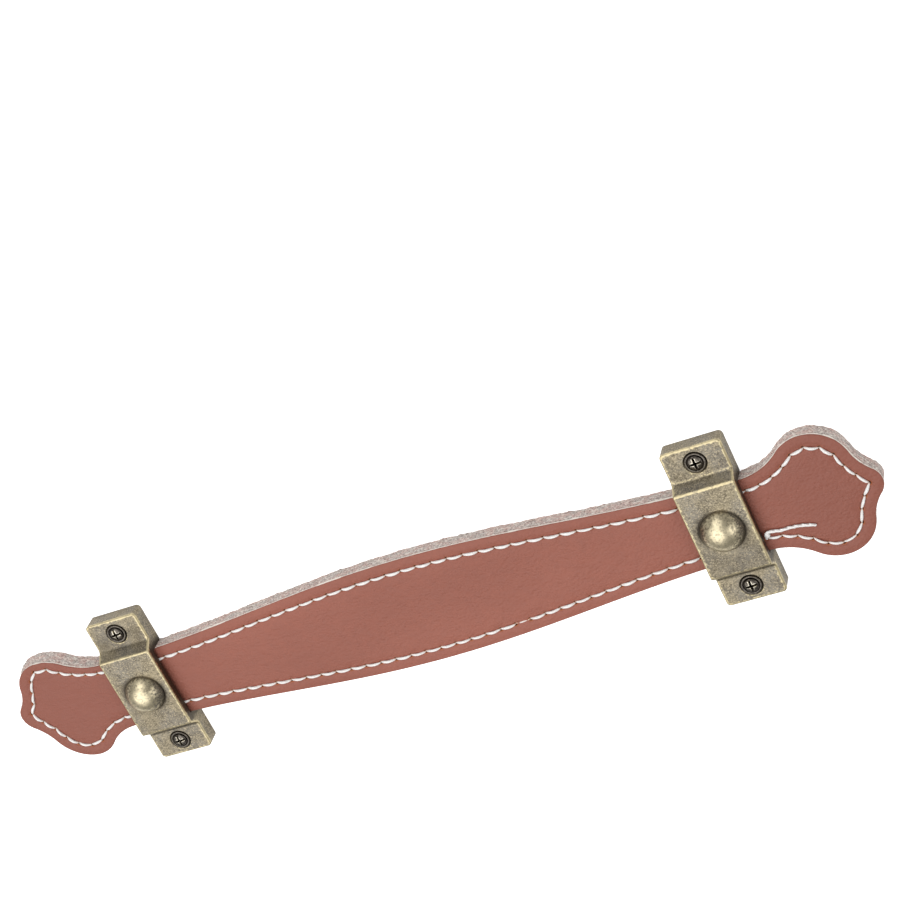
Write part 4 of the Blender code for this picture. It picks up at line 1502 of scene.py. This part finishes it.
def recess_plug():
    """The cross recess as a plus-shaped plug that narrows towards its floor."""
    arm = [(RECESS_REACH, -RECESS_HALF), (RECESS_REACH, RECESS_HALF), (RECESS_HALF, RECESS_HALF)]
    outline = []
    for quarter in range(4):
        turn = Matrix.Rotation(quarter * math.pi / 2 + RECESS_TURN, 2)
        outline += [turn @ Vector(point) for point in arm]
    bm = bmesh.new()
    mouth = bm.faces.new([bm.verts.new((*point, HEAD_TOP + STAND_OUT)) for point in outline])
    collar = extrude(bm, mouth, (0, 0, -STAND_OUT))
    floor = extrude(bm, collar, (0, 0, -RECESS_DEPTH))
    centre = Matrix.Translation((0, 0, -HEAD_TOP))
    bmesh.ops.scale(bm, verts=floor.verts, vec=(RECESS_TAPER, RECESS_TAPER, 1), space=centre)
    return bm


def screw_thread():
    """The helical ridge on the shank, closed at both ends and run out at the point."""
    bm = bmesh.new()
    root = SHANK_RADIUS - THREAD_ROOT
    half = THREAD_PITCH * 0.3
    crest = (SHANK_RADIUS + THREAD_HEIGHT, THREAD_TOP)
    profile = ((root, THREAD_TOP + half), crest, (root, THREAD_TOP - half))
    start = bm.faces.new([bm.verts.new((radius, 0, height)) for radius, height in profile])
    turns = (THREAD_TOP - SCREW_TIP - THREAD_RUN_OUT) / THREAD_PITCH
    bmesh.ops.spin(
        bm, geom=[start], axis=(0, 0, 1), cent=(0, 0, 0), angle=turns * 2 * math.pi,
        steps=round(turns * THREAD_STEPS), dvec=(0, 0, -THREAD_PITCH / THREAD_STEPS),
        use_merge=False,
    )
    for vert in bm.verts:
        if vert.co.z < SCREW_TIP + POINT_LENGTH:
            share = max(0.05, (vert.co.z - SCREW_TIP) / POINT_LENGTH)
            vert.co.x *= share
            vert.co.y *= share
    face_outwards(bm)
    return bm


print("turns of thread:", round((THREAD_TOP - SCREW_TIP - THREAD_RUN_OUT) / THREAD_PITCH, 1))

# %% [markdown]
# Each screw is the blank with its recess, a small bevel round the recess's mouth, the masks for
# wear and then the thread, which needs none. The metal glints only on the corners between the
# recess's arms, where a driver has slipped.

# %% The wood screws
SCREW_SEGMENTS = 64
MOUTH_ANGLE = math.radians(40)
MOUTH_ROUND = 0.07 * MM
GLINT_REACH = 1.3 * MM


def glinting_place(place):
    """Whether a place on the screw gets a painted glint: the corners between the recess's arms."""
    return place.z > FOOT_TOP + RIM_HEIGHT and place.xy.length < GLINT_REACH


def make_screw(side, row, x, y):
    base = revolve("blank", screw_profile(), SCREW_SEGMENTS)
    bm = combined(base, [(helper_object(recess_plug(), "plug"), "DIFFERENCE")])
    mouth = [
        edge for edge in bm.edges
        if len(edge.link_faces) == 2 and edge.calc_face_angle_signed() > MOUTH_ANGLE
        and max(vert.co.xy.length for vert in edge.verts) < RECESS_REACH + 0.1 * MM
        and min(vert.co.z for vert in edge.verts) > FOOT_TOP
    ]
    bevel(bm, mouth, MOUTH_ROUND, segments=2, clamp_overlap=True)
    mark_edges_and_hollows(bm, edge_reach=0.16 * MM, hollow_reach=0.24 * MM, exposed=glinting_place)
    bm.from_mesh(mesh_of(screw_thread(), "ridge"))
    bmesh.ops.translate(bm, verts=bm.verts, vec=(x, y, 0))
    name = f"{side}_{row}_wood_screw"
    finish_piece(bm, name, DARK_BRONZE, "dark_bronze", f"{side}_{row}_screw")


for side, x in (("left", -BRACKET_X), ("right", BRACKET_X)):
    for row, y in (("upper", SCREW_Y), ("lower", -SCREW_Y)):
        make_screw(side, row, x, y)

# %% [markdown]
# The pull is shown screwed to a plain pale board, whose face is the mounting plane. The board is
# only a stage, so it is marked as one. It glows a little, like a board that is lit all round, and
# the camera sees more of the glow than the metal does, which lifts the picture's ground to white.

# %% The pale board
BOARD_SIZE = 3.0
BOARD_DROP = 0.05 * MM
BOARD_GLOW = 0.3
CAMERA_GLOW = 0.6


def make_board():
    bm = bmesh.new()
    bmesh.ops.create_grid(bm, x_segments=1, y_segments=1, size=BOARD_SIZE / 2)
    bmesh.ops.translate(bm, verts=bm.verts, vec=(0, 0, -BOARD_DROP))
    mesh = mesh_of(bm, "pale_board")
    look, tree, shader = new_look(
        "pale_board", Base_Color=(0.85, 0.85, 0.85, 1.0), Roughness=0.9, Specular_IOR_Level=0.2,
        Emission_Color=(1.0, 1.0, 1.0, 1.0),
    )
    seen = put(tree, "LightPath", output="Is Camera Ray")
    glow = math_node(tree, "ADD", scaled(tree, seen, CAMERA_GLOW), BOARD_GLOW)
    feed(tree, shader, Emission_Strength=glow)
    mesh.materials.append(look)
    board = put_in_scene("pale_board", mesh)
    board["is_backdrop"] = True


make_board()
print("board:", BOARD_SIZE, "m wide")

# %% [markdown]
# The domes are small mirrors, and they show how the picture was lit: a wide soft light straight
# above, two softer wings towards +X and +Y, and a dark gap between the wings where the
# photographer stood. Area lights repeat the three, and the grey world fills the rest.

# %% Light
LIGHTS = (
    ("overhead", (-0.38, -0.08, 1.0), 1.50, 9.9),
    ("wing_x", (0.88, -0.10, 0.68), 0.80, 2.6),
    ("wing_y", (-0.15, 0.88, 0.68), 0.80, 2.9),
)
WORLD_GREY = 0.25


def make_light(name, place, size, power):
    data = bpy.data.lights.new(name, "AREA")
    data.shape = "DISK"
    data.size = size
    data.energy = power
    light = put_in_scene(name, data)
    light.location = place
    light.rotation_euler = (-Vector(place)).to_track_quat("-Z", "Y").to_euler()


for name, place, size, power in LIGHTS:
    make_light(name, place, size, power)
world = bpy.data.worlds.new("studio")
world.use_nodes = True
world.node_tree.nodes["Background"].inputs["Color"].default_value = (1.0, 1.0, 1.0, 1.0)
world.node_tree.nodes["Background"].inputs["Strength"].default_value = WORLD_GREY
bpy.context.scene.world = world
bpy.context.scene.view_settings.view_transform = "Standard"
print("lights:", len(LIGHTS))

# %% Measure the packed and finished boxes
visual_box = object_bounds()
for name, (low, high) in (("packed", cad_box), ("finished", visual_box)):
    print(name, "box, mm:", [round((b - a) * 1000, 2) for a, b in zip(low, high)])
